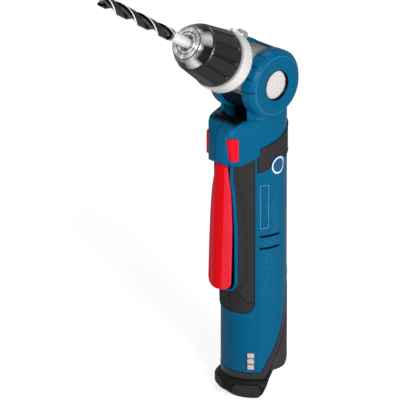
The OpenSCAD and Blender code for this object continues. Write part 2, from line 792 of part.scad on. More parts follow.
// Swivelling head
axle_r = 3;
idler_back = idler_pr / tan(90 - cone);
module idler_gear() {
  color(steel) at_pivot() difference() {
    rotate([0, -90, 0]) rotate([0, 0, 180 / idler_z]) bevel(idler_z, idler_pr, 90 - cone, slack_deg * 0.7);
    rod_x(0, far, axle_r + fit);
  }
}
module idler_axle() { color(steel) at_pivot() rod_x(idler_back - bevel_face, drum_w - wall / 4, axle_r); }
lug_r = 3.6;
lug_out = 24.6;
lip_l = 3;
slot_a0 = 74;
slot_a1 = 196;
shield_a0 = 44;
shield_a1 = 120;
shield_t = 1.2;
collar_seat = 9.5;
module gear_head() {
  color(silver) difference() {
    union() {
      at_pivot() rotate([90, 0, -90]) translate([0, 0, -drum_w]) linear_extrude(2 * drum_w) {
        circle(r = drum_r);
        rotate(lean) translate([0, -neck_h]) square([collar_l + lip_l, 2 * neck_h]);
      }
      at_pivot() rod_x(-trunnion_x, trunnion_x, trunnion_r);
      along_chuck() {
        translate([0, 0, collar_l]) cylinder(h = lip_l, r1 = collar_r - lip_l / 2, r2 = collar_r - lip_l / 6);
        translate([0, 0, collar_l + lip_l - tiny]) cylinder(h = collar_h - lip_l + tiny, r = collar_r);
        translate([0, lug_out - lug_r, collar_l + lip_l / 2]) cylinder(h = collar_h - lip_l, r = lug_r);
      }
    }
    at_pivot() rod_x(-cavity_w, cavity_w, cavity_r);
    at_pivot() rod_x(0, drum_w - wall / 4, axle_r);
    for (s = [0, 1]) mirror([s, 0, 0]) at_pivot() rod_x(drum_w + wall / 2, far, stem_pin_r + gap);
    // slot the drive shaft sweeps through
    at_pivot() rotate([90, 0, -90]) ring_sector(cavity_r - wall, drum_r + wall, -shaft_slot, shaft_slot,
      lean - slot_a1, lean - slot_a0);
    // seat of the shield
    at_pivot() rotate([90, 0, -90]) ring_sector(drum_r - shield_t, drum_r + wall, -drum_w - tiny, drum_w + tiny,
      lean - shield_a1, lean - shield_a0);
    along_chuck() {
      translate([0, 0, cavity_r - 2 * wall]) cylinder(h = far, r = spindle_r + 2 * gap);
      translate([0, 0, bearing_l0]) cylinder(h = bearing_l1 - bearing_l0, r = bearing_r);
      translate([0, 0, bearing_l1 - tiny]) cylinder(h = far, r = collar_seat);
      translate([0, lug_out - lug_r, collar_l + lip_l]) cylinder(h = far, r = screw_r);
    }
  }
}
rib_n = 12;
rib_deg = 2.6;
rib_step = 5.6;
rib_h = 0.6;
module head_shield() {
  color(black) at_pivot() rotate([90, 0, -90]) difference() {
    ring_sector(drum_r - shield_t, drum_r, -drum_w, drum_w, lean - shield_a1, lean - shield_a0);
    for (k = [0:rib_n - 1]) let (a = lean - shield_a0 - rib_step * (k + 1))
      ring_sector(drum_r - rib_h, drum_r + wall, -drum_w + wall / 2, drum_w - wall / 2, a, a + rib_deg);
    ring_sector(cavity_r, drum_r + wall, -shaft_slot, shaft_slot, lean - slot_a1, lean - slot_a0);
  }
}
module head_screw() {
  color(steel) along_chuck() {
    translate([0, lug_out - lug_r, collar_l + lip_l]) cylinder(h = collar_h - 2 * lip_l - gap + tiny, r = screw_r);
  }
}
module lock_button() {
  color(white) at_pivot() {
    rod_x(button_out - button_t, button_out, button_r);
    rod_x(trunnion_x + button_reach, button_out - button_t + tiny, stem_pin_r);
  }
}
module lock_spring() {
  color(steel) at_pivot() difference() {
    rod_x(button_floor, button_floor + blade_t / 2, button_r - wall);
    rod_x(0, far, stem_pin_r + wall);
  }
}
module pivot_cap() {
  color(black) at_pivot() rod_x(-button_out, -button_floor, hole_r);
}

// Spindle and chuck
cage_r0 = 6;
cage_r1 = 8.6;
module spindle_cage() {
  color(brass) along_chuck() translate([0, 0, bearing_l0 + wall / 2])
    tube(bearing_l1 - bearing_l0 - wall, cage_r1 - gap, cage_r0 + gap);
}
module spindle_bearing() {
  color(steel) along_chuck() translate([0, 0, bearing_l0]) tube(bearing_l1 - bearing_l0, bearing_r, cage_r1);
}
gear_l = bevel_pr / tan(cone);
module spindle() {
  color(steel) along_chuck() {
    translate([0, 0, gear_l - shaft_over]) cylinder(h = spindle_l1 - gear_l + shaft_over, r = spindle_r);
    translate([0, 0, bearing_l0]) cylinder(h = bearing_l1 - bearing_l0, r = cage_r0);
  }
}
module spindle_gear() {
  color(steel) along_chuck() difference() {
    union() {
      rotate([180, 0, 0]) rotate([0, 0, 180 / bevel_z]) bevel(bevel_z, bevel_pr, cone, slack_deg);
      translate([0, 0, gear_l - tiny]) cylinder(h = hub_h, r = hub_r + shaft_over);
    }
    translate([0, 0, gear_l - shaft_over - gap]) cylinder(h = far, r = spindle_r);
  }
}
jaw_deg = 12;
jaw_r = 2.6;
jaw_len = 20;
jaw_sink = 1;
jaw_tip_l = face_l - jaw_sink;
jaw_tip_r = shank_r + jaw_r;
module jaw_place(k) {
  along_chuck() rotate([0, 0, 120 * k + 30]) translate([0, jaw_tip_r, jaw_tip_l]) rotate([jaw_deg, 0, 0])
    rotate([180, 0, 0]) children();
}
jaw_back = 5;
core_gap = 0.4;
core_l0 = chuck_l + core_gap;
nose_seat = 2;
nose_step = 1;
screw_room = 2;
module chuck_body() {
  color(steel) difference() {
    along_chuck() {
      translate([0, 0, core_l0]) cylinder(h = sleeve_l1 - nose_seat - core_l0, r = chuck_core_r);
    }
    along_chuck() {
      translate([0, 0, core_l0 - tiny]) cylinder(h = spindle_l1 - core_l0 + tiny, r = spindle_r);
      translate([0, 0, core_l0]) cylinder(h = far, r = flute_r + gap);
    }
    for (k = [0:2]) jaw_place(k) translate([0, 0, -far]) cylinder(h = far + jaw_len + jaw_back, r = jaw_r + gap);
  }
}
module chuck_nose() {
  color(silver) difference() {
    along_chuck() {
      translate([0, 0, sleeve_l1 - nose_seat]) cylinder(h = nose_seat, r = chuck_core_r);
      translate([0, 0, sleeve_l1]) cylinder(h = nose_h, r1 = sleeve_r2 - nose_step, r2 = face_r);
    }
    along_chuck() translate([0, 0, core_l0]) cylinder(h = far, r = flute_r + gap);
    for (k = [0:2]) jaw_place(k) translate([0, 0, -far]) cylinder(h = far + jaw_len + jaw_back, r = jaw_r + gap);
  }
}
sleeve_rim = 3;
groove_n = 12;
groove_w = 3.4;
groove_d = 0.9;
module chuck_sleeve() {
  color(black) along_chuck() difference() {
    union() {
      translate([0, 0, chuck_l]) cylinder(h = sleeve_rim, r = sleeve_r);
      translate([0, 0, chuck_l + sleeve_rim - tiny])
        cylinder(h = sleeve_h - sleeve_rim - gap, r1 = sleeve_r, r2 = sleeve_r2);
    }
    translate([0, 0, chuck_l - tiny]) cylinder(h = far, r = chuck_core_r + fit);
    for (k = [0:groove_n - 1]) rotate([0, 0, k * 360 / groove_n]) translate([0, sleeve_r - groove_d, chuck_l + 2 * sleeve_rim])
      rotate([atan((sleeve_r - sleeve_r2) / (sleeve_h - sleeve_rim)), 0, 0])
        translate([-groove_w / 2, 0, 0]) cube([groove_w, wall, sleeve_h]);
  }
}
module chuck_screw() {
  color(steel) along_chuck() translate([0, 0, spindle_l1 + tiny]) tube(screw_room, flute_r + gap - tiny, screw_r);
}
module jaw(k) {
  color(steel) difference() {
    jaw_place(k) cylinder(h = jaw_len, r = jaw_r);
    along_chuck() cylinder(h = far, r = shank_r + tiny);
    along_chuck() translate([0, 0, face_l]) cylinder(h = far, r = face_r);
  }
}
module jaw_1() { jaw(0); }
module jaw_2() { jaw(1); }
module jaw_3() { jaw(2); }
bit_room = 1.2;
bit_l0 = spindle_l1 + screw_room + bit_room;
flute_l = 102;
point_h = 2.2;
flute_turn = 587;
web_share = 0.34;
// Share of the full radius left by the two flutes at an angle
function flute_share(a) = max(web_share, min(1, web_share + 2.1 * pow(abs(cos(a)), 3)));
module drill_bit() {
  color(steel) along_chuck() {
    translate([0, 0, bit_l0]) cylinder(h = flute_l - bit_l0 + shaft_over, r = shank_r);
    translate([0, 0, flute_l]) linear_extrude(height = tip_l - point_h - flute_l, twist = -flute_turn, slices = 32,
      $fn = 12) polygon([for (a = [0:20:340]) flute_r * flute_share(a) * [cos(a), sin(a)]]);
    translate([0, 0, tip_l - point_h - tiny]) cylinder(h = point_h, r1 = flute_r * web_share, r2 = tiny);
  }
}

// Battery pack
cell_c = 11;
cell_z = 27;
slot_floor = 84.2;
contact_h = 0.7;
module under_sole() {
  side_cut(far / 2) polygon(concat([[-far, -far]], [[-far, 0]], [for (p = sole_line) p],
    [[far, sole_line[len(sole_line) - 1][1] + foot_r], [far, -far]]));
}
module battery_shell() {
  color(black) difference() {
    union() {
      translate([0, 0, foot_h]) cylinder(h = stem_top - foot_h, r = stem_r);
      intersection() {
        translate([0, 0, foot_h]) cylinder(h = far, r = barrel_r + pack_proud);
        below_edge(trim_dy + pack_gap, -trim_dz - pack_gap);
        translate([-far / 2, -far / 2, 0]) cube([far, far, stem_top]);
      }
    }
    for (k = [0:2]) rotate([0, 0, 120 * k + 30]) translate([cell_c, 0, cell_z - gap])
      cylinder(h = cell_h + 2 * gap, r = cell_r + gap);
    translate([0, 0, cell_z - gap + tiny]) cylinder(h = cell_h - wall, r = cell_c);
    for (s = [-1, 1]) translate([s * blade_x - blade_t, -blade_w - blade_t, slot_floor])
      cube([2 * blade_t, 2 * (blade_w + blade_t), far]);
    under_sole();
  }
}
// The heel slopes in from both sides, across the diagonal and per height
heel_u = 3.6;
heel_k = 0.48;
module heel_cut() {
  rotate([0, 0, 45]) translate([0, far / 2, 0]) rotate([90, 0, 0]) linear_extrude(far)
    polygon([[heel_u - heel_k, -1], [far, -1], [far, foot_h + 1], [heel_u + heel_k * (foot_h + 1), foot_h + 1]]);
}
module battery_foot() {
  color(black) difference() {
    rotate_extrude() polygon(foot_line);
    under_sole();
    for (s = [0, 1]) mirror([s, 0, 0]) heel_cut();
    intersection() {
      above_edge(trim_dy + pack_gap, -trim_dz - pack_gap);
      translate([0, 0, -tiny]) tube(far, far, stem_r);
    }
    for (s = [0, 1]) mirror([s, 0, 0]) latch_pocket(latch_room);
  }
}
latch_room = 0.35;
pocket_share = 5;
latch_u0 = -11.4;
latch_u1 = 0.6;
latch_zc = 8.2;
latch_r = 4.6;
latch_depth = 10;
latch_in = foot_r - latch_depth;
module latch_pocket(g) {
  rotate([0, 0, -45]) rotate([90, 0, 90]) translate([0, 0, latch_in - pocket_share * g]) linear_extrude(far) {
    translate([latch_u0, latch_zc]) circle(r = latch_r + g);
    translate([latch_u1, latch_zc]) circle(r = latch_r + g);
    translate([latch_u0, latch_zc - latch_r - g]) square([latch_u1 - latch_u0, 2 * (latch_r + g)]);
  }
}
module latch() {
  intersection() {
    rotate_extrude() polygon([for (p = foot_line) [p[0] > 0 ? p[0] + gap : 0, p[1]]]);
    latch_pocket(0);
  }
}
module latch_right() { color(rubber) latch(); }
module latch_left() { color(rubber) mirror([1, 0, 0]) latch(); }
module battery_cells() {
  color([0.2, 0.5, 0.3]) for (k = [0:2]) rotate([0, 0, 120 * k + 30]) translate([cell_c, 0, cell_z])
    cylinder(h = cell_h, r = cell_r);
}
module battery_contacts() {
  color(brass) for (s = [-1, 1]) translate([s * blade_x - blade_t, -blade_w - blade_t, slot_floor])
    cube([2 * blade_t, 2 * (blade_w + blade_t), contact_h]);
}

left_housing();
right_housing();
left_pad();
right_pad();
left_rear_pad();
right_rear_pad();
lower_trim();
label_plate();
badge_plate();
indicator_window();
indicator_lights();
housing_screws();
trigger();
trigger_pin();
trigger_spring();
switch_box();
switch_plunger();
selector();
reverse_switch();
terminal_block();
terminal_blades();
motor_can();
motor_end();
motor_shaft();
motor_fan();
sun_gear();
ring_gear();
gearbox_cover();
drive_bushing();
planet_1();
planet_2();
planet_3();
carrier();
bevel_pinion();
idler_gear();
idler_axle();
gear_head();
head_shield();
head_screw();
lock_button();
lock_spring();
pivot_cap();
spindle_cage();
spindle_bearing();
spindle();
spindle_gear();
chuck_body();
chuck_sleeve();
chuck_nose();
chuck_screw();
jaw_1();
jaw_2();
jaw_3();
drill_bit();
battery_shell();
battery_foot();
battery_cells();
battery_contacts();
latch_left();
latch_right();
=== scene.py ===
import bpy
import json
import math
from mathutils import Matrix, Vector


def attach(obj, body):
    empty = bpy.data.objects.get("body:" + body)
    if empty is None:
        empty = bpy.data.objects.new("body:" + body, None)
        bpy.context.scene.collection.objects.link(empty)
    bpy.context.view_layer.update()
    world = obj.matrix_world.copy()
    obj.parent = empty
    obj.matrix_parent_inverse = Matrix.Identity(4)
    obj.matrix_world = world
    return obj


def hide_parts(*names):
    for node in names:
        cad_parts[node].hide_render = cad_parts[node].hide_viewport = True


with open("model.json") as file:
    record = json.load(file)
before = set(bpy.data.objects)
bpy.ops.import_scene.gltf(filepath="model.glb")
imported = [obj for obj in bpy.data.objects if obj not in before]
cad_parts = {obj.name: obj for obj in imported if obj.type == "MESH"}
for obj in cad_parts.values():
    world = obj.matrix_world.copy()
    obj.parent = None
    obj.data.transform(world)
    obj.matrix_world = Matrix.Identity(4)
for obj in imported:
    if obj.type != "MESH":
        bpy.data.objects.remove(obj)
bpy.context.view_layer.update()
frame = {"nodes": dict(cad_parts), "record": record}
nodes = frame["nodes"]
bodies = frame["record"]["behaviour"]["bodies"]
body_of_node = {n: b for b, members in bodies.items() for n in members}
scene = bpy.context.scene

# Sizes shared with the solids, in metres and degrees
mm = 0.001
pivot = Vector((0, 0, 0.244))
lean = 33.75
stop_step = 22.5
fork_half = 12.7 * mm
cheek_r = 26 * mm
cheek_out = 23.8 * mm
cheek_ch = 4.2 * mm
handle_r = 24 * mm
wall_r = 22.4 * mm
trigger_bottom = 90 * mm
bit_r = 4.75 * mm
flute_l = 102 * mm
tip_l = 187 * mm
flute_turn = 587

# Points nearer than this are one point, and faces that differ by less than this angle are one face
weld = 2e-6
flat_angle = 0.6


# Shaping

def nothing_selected():
    if bpy.context.mode != "OBJECT":
        bpy.ops.object.mode_set(mode="OBJECT")
    bpy.ops.object.select_all(action="DESELECT")


def take(obj):
    nothing_selected()
    obj.select_set(True)
    bpy.context.view_layer.objects.active = obj


def edit(obj, kind):
    take(obj)
    bpy.ops.object.mode_set(mode="EDIT")
    bpy.ops.mesh.select_mode(type=kind)
    bpy.ops.mesh.select_all(action="DESELECT")


def pick_verts(obj, test):
    """Selects the points of a piece that pass a test of the point."""
    edit(obj, "VERT")
    bpy.ops.object.mode_set(mode="OBJECT")
    for v in obj.data.vertices:
        v.select = test(v)
    bpy.ops.object.mode_set(mode="EDIT")


def close_up(obj):
    edit(obj, "VERT")
    bpy.ops.mesh.select_all(action="SELECT")
    bpy.ops.mesh.remove_doubles(threshold=weld)
    bpy.ops.mesh.normals_make_consistent(inside=False)
    bpy.ops.object.mode_set(mode="OBJECT")


def use_modifier(obj, kind, **values):
    take(obj)
    m = obj.modifiers.new(kind.lower(), kind)
    for key, value in values.items():
        setattr(m, key, value)
    bpy.ops.object.modifier_apply(modifier=m.name)


def round_edges(obj, width, segments=2, angle=35):
    use_modifier(obj, "BEVEL", width=width, segments=segments, limit_method="ANGLE",
                 angle_limit=math.radians(angle), use_clamp_overlap=True)


def smooth(obj, angle=32):
    take(obj)
    bpy.ops.object.shade_smooth_by_angle(angle=math.radians(angle))


def grow_by(*step):
    bpy.ops.mesh.extrude_region_move(TRANSFORM_OT_translate={"value": step})


def scale_about_axis(factor, height=0.0):
    bpy.ops.transform.resize(value=(factor, factor, 1.0), center_override=(0, 0, height))


def wire(name, points):
    """A line of edges through a list of points, all selected and open for more work."""
    nothing_selected()
    bpy.ops.mesh.primitive_plane_add(size=0.01)
    obj = bpy.context.object
    obj.name = name
    bpy.ops.object.mode_set(mode="EDIT")
    bpy.ops.mesh.select_all(action="SELECT")
    bpy.ops.mesh.merge(type="CENTER")
    bpy.ops.transform.translate(value=points[0])
    for a, b in zip(points, points[1:]):
        grow_by(b[0] - a[0], b[1] - a[1], b[2] - a[2])
    bpy.ops.mesh.select_all(action="SELECT")
    return obj


def turned(name, rows, sides=96, angle=360.0):
    """A lathe piece about +Z from a list of (radius, height) in millimetres."""
    obj = wire(name, [(r * mm, 0, z * mm) for r, z in rows])
    bpy.ops.mesh.spin(steps=sides, angle=math.radians(angle), center=(0, 0, 0), axis=(0, 0, 1))
    close_up(obj)
    return obj


def apply_place(obj):
    take(obj)
    bpy.ops.object.transform_apply(location=True, rotation=True, scale=True)
    return obj


def on_chuck_axis(obj):
    obj.rotation_euler = (math.radians(90 - lean), 0, 0)
    obj.location = pivot
    return apply_place(obj)


def on_pivot_axis(obj):
    """Local +Z becomes +X about the swivel."""
    obj.rotation_euler = (0, math.radians(90), 0)
    obj.location = pivot
    return apply_place(obj)


def settle(obj, node, finish):
    """Gives a finished piece its surface and the body that it rides on."""
    obj.data.materials.clear()
    obj.data.materials.append(finish)
    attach(obj, body_of_node[node])
    return obj


def stands_for(obj, node, finish):
    settle(obj, node, finish)
    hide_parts(node)
    return obj


def merged_copy(node, ending, flatten):
    """A copy of a solid with its points joined and, where asked, its flat faces made whole."""
    obj = bpy.data.objects.new(node + ending, nodes[node].data.copy())
    scene.collection.objects.link(obj)
    edit(obj, "VERT")
    bpy.ops.mesh.select_all(action="SELECT")
    bpy.ops.mesh.remove_doubles(threshold=weld)
    if flatten:
        bpy.ops.mesh.select_all(action="SELECT")
        bpy.ops.mesh.dissolve_limited(angle_limit=math.radians(flat_angle))
    bpy.ops.object.mode_set(mode="OBJECT")
    return obj


def softened(node, width, finish, segments=2, angle=32):
    """A merged copy of a solid with rounded edges; a width of 0 leaves them sharp."""
    obj = merged_copy(node, "_soft", width > 0)
    if width:
        round_edges(obj, width, segments)
    smooth(obj, angle)
    use_modifier(obj, "WEIGHTED_NORMAL", mode="FACE_AREA", weight=50, keep_sharp=True)
    return stands_for(obj, node, finish)


# Sums for surface effects

def new_group(name, inputs, outputs):
    g = bpy.data.node_groups.new(name, "ShaderNodeTree")
    for label, kind, value in inputs:
        s = g.interface.new_socket(name=label, in_out="INPUT", socket_type=kind)
        if value is not None:
            s.default_value = value
    for label in outputs:
        g.interface.new_socket(name=label, in_out="OUTPUT", socket_type="NodeSocketFloat")
    return g, g.nodes.new("NodeGroupInput"), g.nodes.new("NodeGroupOutput")


def add(tree, kind, **values):
    n = tree.nodes.new(kind)
    for key, value in values.items():
        setattr(n, key, value)
    return n


def feed(tree, socket, value):
    """Sets a socket to a plain value or links it to another socket."""
    if isinstance(value, (int, float, tuple)):
        socket.default_value = value
    else:
        tree.links.new(value, socket)


def sums(tree, operation, a, b=None, clamp=False):
    n = add(tree, "ShaderNodeMath", operation=operation, use_clamp=clamp)
    feed(tree, n.inputs[0], a)
    if b is not None:
        feed(tree, n.inputs[1], b)
    return n.outputs[0]


def plus(tree, a, b, clamp=False):
    return sums(tree, "ADD", a, b, clamp)


def less(tree, a, b):
    return sums(tree, "SUBTRACT", a, b)


def times(tree, a, b, clamp=False):
    return sums(tree, "MULTIPLY", a, b, clamp)


def larger(tree, a, b):
    return sums(tree, "MAXIMUM", a, b)


def absolute(tree, a):
    return sums(tree, "ABSOLUTE", a)


def apart(tree, a, b):
    return absolute(tree, less(tree, a, b))


def reach(tree, a, b):
    """Distance made of two offsets at right angles."""
    return sums(tree, "SQRT", plus(tree, times(tree, a, a), times(tree, b, b)))


def split(tree, vector):
    n = add(tree, "ShaderNodeSeparateXYZ")
    tree.links.new(vector, n.inputs[0])
    return n.outputs["X"], n.outputs["Y"], n.outputs["Z"]


def ramp(tree, value, low, high, to_low, to_high):
    n = add(tree, "ShaderNodeMapRange", clamp=True)
    tree.links.new(value, n.inputs["Value"])
    n.inputs["From Min"].default_value = low
    n.inputs["From Max"].default_value = high
    n.inputs["To Min"].default_value = to_low
    n.inputs["To Max"].default_value = to_high
    return n.outputs["Result"]


def fade_in(tree, value, start, length):
    return ramp(tree, value, start, start + length, 0.0, 1.0)


def fade_out(tree, value, start, length):
    return ramp(tree, value, start, start + length, 1.0, 0.0)


def noise(tree, vector, scale, detail=3.0, rough=0.55):
    n = add(tree, "ShaderNodeTexNoise")
    tree.links.new(vector, n.inputs["Vector"])
    feed(tree, n.inputs["Scale"], scale)
    n.inputs["Detail"].default_value = detail
    n.inputs["Roughness"].default_value = rough
    return n.outputs["Fac"]


def mix_colour(tree, factor, a, b):
    n = add(tree, "ShaderNodeMix", data_type="RGBA")
    tree.links.new(factor, n.inputs["Factor"])
    feed(tree, n.inputs[6], a)
    feed(tree, n.inputs[7], b)
    return n.outputs[2]


# Shared surface effects

def make_moulded_grain():
    """Fine spark texture of a moulding, with slow drift of its gloss."""
    g, i, o = new_group("moulded_grain", [("Vector", "NodeSocketVector", None),
                                          ("Grain Size", "NodeSocketFloat", 2200.0)], ["Height", "Drift"])
    g.links.new(noise(g, i.outputs["Vector"], i.outputs["Grain Size"], 2.0), o.inputs["Height"])
    g.links.new(noise(g, i.outputs["Vector"], 24.0, 2.0), o.inputs["Drift"])
    return g


def make_edge_wear():
    """Rubbed edges: where the surface turns quickly and the finish is thin."""
    g, i, o = new_group("edge_wear", [("Vector", "NodeSocketVector", None),
                                      ("Amount", "NodeSocketFloat", 0.5)], ["Mask"])
    geo = add(g, "ShaderNodeNewGeometry")
    sharp = fade_in(g, geo.outputs["Pointiness"], 0.60, 0.14)
    broken = fade_in(g, noise(g, i.outputs["Vector"], 420.0, 5.0), 0.42, 0.20)
    g.links.new(times(g, times(g, sharp, broken), i.outputs["Amount"], True), o.inputs["Mask"])
    return g


def make_handling():
    """Faint smears and scratches from use."""
    g, i, o = new_group("handling", [("Vector", "NodeSocketVector", None)], ["Smear", "Scratch"])
    smear = fade_in(g, noise(g, i.outputs["Vector"], 28.0, 4.0, 0.6), 0.45, 0.30)
    stretch = add(g, "ShaderNodeMapping")
    stretch.inputs["Scale"].default_value = (900.0, 60.0, 60.0)
    stretch.inputs["Rotation"].default_value = (0.4, 0.9, 0.3)
    g.links.new(i.outputs["Vector"], stretch.inputs["Vector"])
    scratch = fade_in(g, noise(g, stretch.outputs["Vector"], 1.0, 2.0), 0.66, 0.06)
    g.links.new(smear, o.inputs["Smear"])
    g.links.new(scratch, o.inputs["Scratch"])
    return g


def make_turning():
    """Fine rings left by the lathe, about the chuck's axis, and the place on that axis."""
    g, i, o = new_group("turning", [("Vector", "NodeSocketVector", None), ("Pitch", "NodeSocketFloat", 3500.0)],
                        ["Rings", "Radius", "Along", "Fan", "Angle"])
    turn = add(g, "ShaderNodeMapping", vector_type="TEXTURE")
    turn.inputs["Location"].default_value = pivot
    turn.inputs["Rotation"].default_value = (math.radians(90 - lean), 0, 0)
    g.links.new(i.outputs["Vector"], turn.inputs["Vector"])
    x, y, z = split(g, turn.outputs["Vector"])
    radius = reach(g, x, y)
    flat = add(g, "ShaderNodeCombineXYZ")
    g.links.new(times(g, plus(g, radius, z), i.outputs["Pitch"]), flat.inputs["X"])
    spoke = add(g, "ShaderNodeCombineXYZ")
    g.links.new(sums(g, "DIVIDE", x, radius), spoke.inputs["X"])
    g.links.new(sums(g, "DIVIDE", y, radius), spoke.inputs["Y"])
    g.links.new(noise(g, flat.outputs[0], 1.0, 2.0), o.inputs["Rings"])
    g.links.new(noise(g, spoke.outputs[0], 1.9, 2.0, 0.5), o.inputs["Fan"])
    g.links.new(sums(g, "ARCTAN2", y, x), o.inputs["Angle"])
    g.links.new(radius, o.inputs["Radius"])
    g.links.new(z, o.inputs["Along"])
    return g


grain_group = make_moulded_grain()
wear_group = make_edge_wear()
handling_group = make_handling()
turning_group = make_turning()


# Steps shared by the finishes

def linear(r, g, b):
    """A colour from screen values of 0 to 255."""
    def one(c):
        c = c / 255
        return c / 12.92 if c <= 0.04045 else ((c + 0.055) / 1.055) ** 2.4
    return (one(r), one(g), one(b), 1.0)


def darker(colour, share):
    return tuple(c * share for c in colour[:3]) + (1.0,)


def start_finish(name, metallic=0.0, specular=0.5):
    m = bpy.data.materials.new(name)
    m.use_nodes = True
    tree = m.node_tree
    tree.nodes.clear()
    out = add(tree, "ShaderNodeOutputMaterial")
    skin = add(tree, "ShaderNodeBsdfPrincipled")
    skin.inputs["Metallic"].default_value = metallic
    skin.inputs["Specular IOR Level"].default_value = specular
    tree.links.new(skin.outputs[0], out.inputs["Surface"])
    where = add(tree, "ShaderNodeTexCoord").outputs["Object"]
    return m, tree, skin, where


def effect(tree, group, vector, **values):
    n = add(tree, "ShaderNodeGroup", node_tree=group)
    tree.links.new(vector, n.inputs["Vector"])
    for key, value in values.items():
        n.inputs[key.replace("_", " ")].default_value = value
    return n.outputs


def across_noise(tree, value, at_low, at_high):
    """Spreads the middle of a noise between two values."""
    return ramp(tree, value, 0.3, 0.7, at_low, at_high)


def raise_up(tree, skin, height, distance):
    b = add(tree, "ShaderNodeBump")
    b.inputs["Distance"].default_value = distance
    b.inputs["Strength"].default_value = 1.0
    tree.links.new(height, b.inputs["Height"])
    tree.links.new(b.outputs["Normal"], skin.inputs["Normal"])


# Masks of places on the tool

def fork_painted_shade(tree, x, y, z):
    """Painted shade: the trough under the head, the ledge in front of it and the button's recess, painted near
    black.
    """
    trough_r, front_r, recess_r = 24.3 * mm, 32.5 * mm, 11.25 * mm
    ledge_low, ledge_top = 216.8 * mm, 219.9 * mm
    recess_floor, front_y = 18.5 * mm, -10 * mm
    edge = 0.4 * mm
    side = absolute(tree, x)
    far = reach(tree, less(tree, z, pivot.z), y)
    inner = fade_out(tree, side, fork_half, 0.3 * mm)
    trough = fade_out(tree, far, trough_r, edge)
    ledge = times(tree, fade_in(tree, z, ledge_low, 2.2 * mm), fade_out(tree, z, ledge_top, edge))
    recess = times(tree, fade_out(tree, far, recess_r, 0.2 * mm), fade_in(tree, side, recess_floor, 0.5 * mm))
    front = times(tree, fade_out(tree, y, front_y, 4 * mm), fade_out(tree, far, front_r, 0.5 * mm))
    front = times(tree, front, fade_in(tree, z, ledge_top - edge, 2 * edge))
    dark = larger(tree, front, larger(tree, trough, ledge))
    return larger(tree, recess, times(tree, inner, dark))


def stop_lines(tree, x, y, z):
    """The grooves across a disc's chamfer, one at each stop from the front to the top."""
    up = less(tree, z, pivot.z)
    forward = times(tree, y, -1.0)
    far = reach(tree, up, forward)
    turn = sums(tree, "DIVIDE", sums(tree, "ARCTAN2", up, forward), math.radians(stop_step))
    line = fade_out(tree, apart(tree, turn, sums(tree, "ROUND", turn)), 0.03, 0.025)
    on_chamfer = fade_in(tree, far, cheek_r - cheek_ch, 0.3 * mm)
    in_disc = fade_out(tree, far, cheek_r + 0.2 * mm, 0.2 * mm)
    on_cheek = fade_in(tree, absolute(tree, x), fork_half + 0.1 * mm, 0.3 * mm)
    front_to_top = fade_out(tree, apart(tree, turn, 2.0), 2.1, 0.1)
    for place in (on_chamfer, in_disc, on_cheek, front_to_top):
        line = times(tree, line, place)
    return line


def disc_rim_highlight(tree, x, y, z):
    """A painted highlight along the line where a disc's flat face meets its chamfer."""
    far = reach(tree, less(tree, z, pivot.z), y)
    line = fade_out(tree, apart(tree, far, cheek_r - cheek_ch), 0.2 * mm, 0.4 * mm)
    return times(tree, line, fade_in(tree, absolute(tree, x), cheek_out - 1.0 * mm, 0.4 * mm))


def behind_the_bar(tree, where):
    """The trigger's stem, which leans with the bar in front of it; it is painted the housing's blue, darkened as
    painted shade behind the bar.
    """
    bar_lean, bar_back, nose_in = math.radians(2.0), -34.4 * mm, 189 * mm
    _, y, z = split(tree, where)
    depth = less(tree, y, times(tree, less(tree, z, trigger_bottom), math.tan(bar_lean)))
    return times(tree, fade_in(tree, depth, bar_back, 0.3 * mm), fade_out(tree, z, nose_in, 2 * mm))


def front_facet_shade(tree, where):
    """The trigger's front, between the ridges where it meets the sides, painted a deeper red as painted shade."""
    ridge = 4.3 * mm
    return fade_out(tree, absolute(tree, split(tree, where)[0]), ridge, 0.5 * mm)


def label_frame(tree, where):
    """A thin line just inside the border of the bare label place."""
    turn, middle, half_width, half_height = math.radians(-26), 151.5 * mm, 3.1 * mm, 16.8 * mm
    x, y, z = split(tree, where)
    across = times(tree, apart(tree, sums(tree, "ARCTAN2", y, x), turn), handle_r)
    inside = larger(tree, less(tree, across, half_width), less(tree, apart(tree, z, middle), half_height))
    return fade_out(tree, absolute(tree, inside), 0.12 * mm, 0.28 * mm)


# Finishes

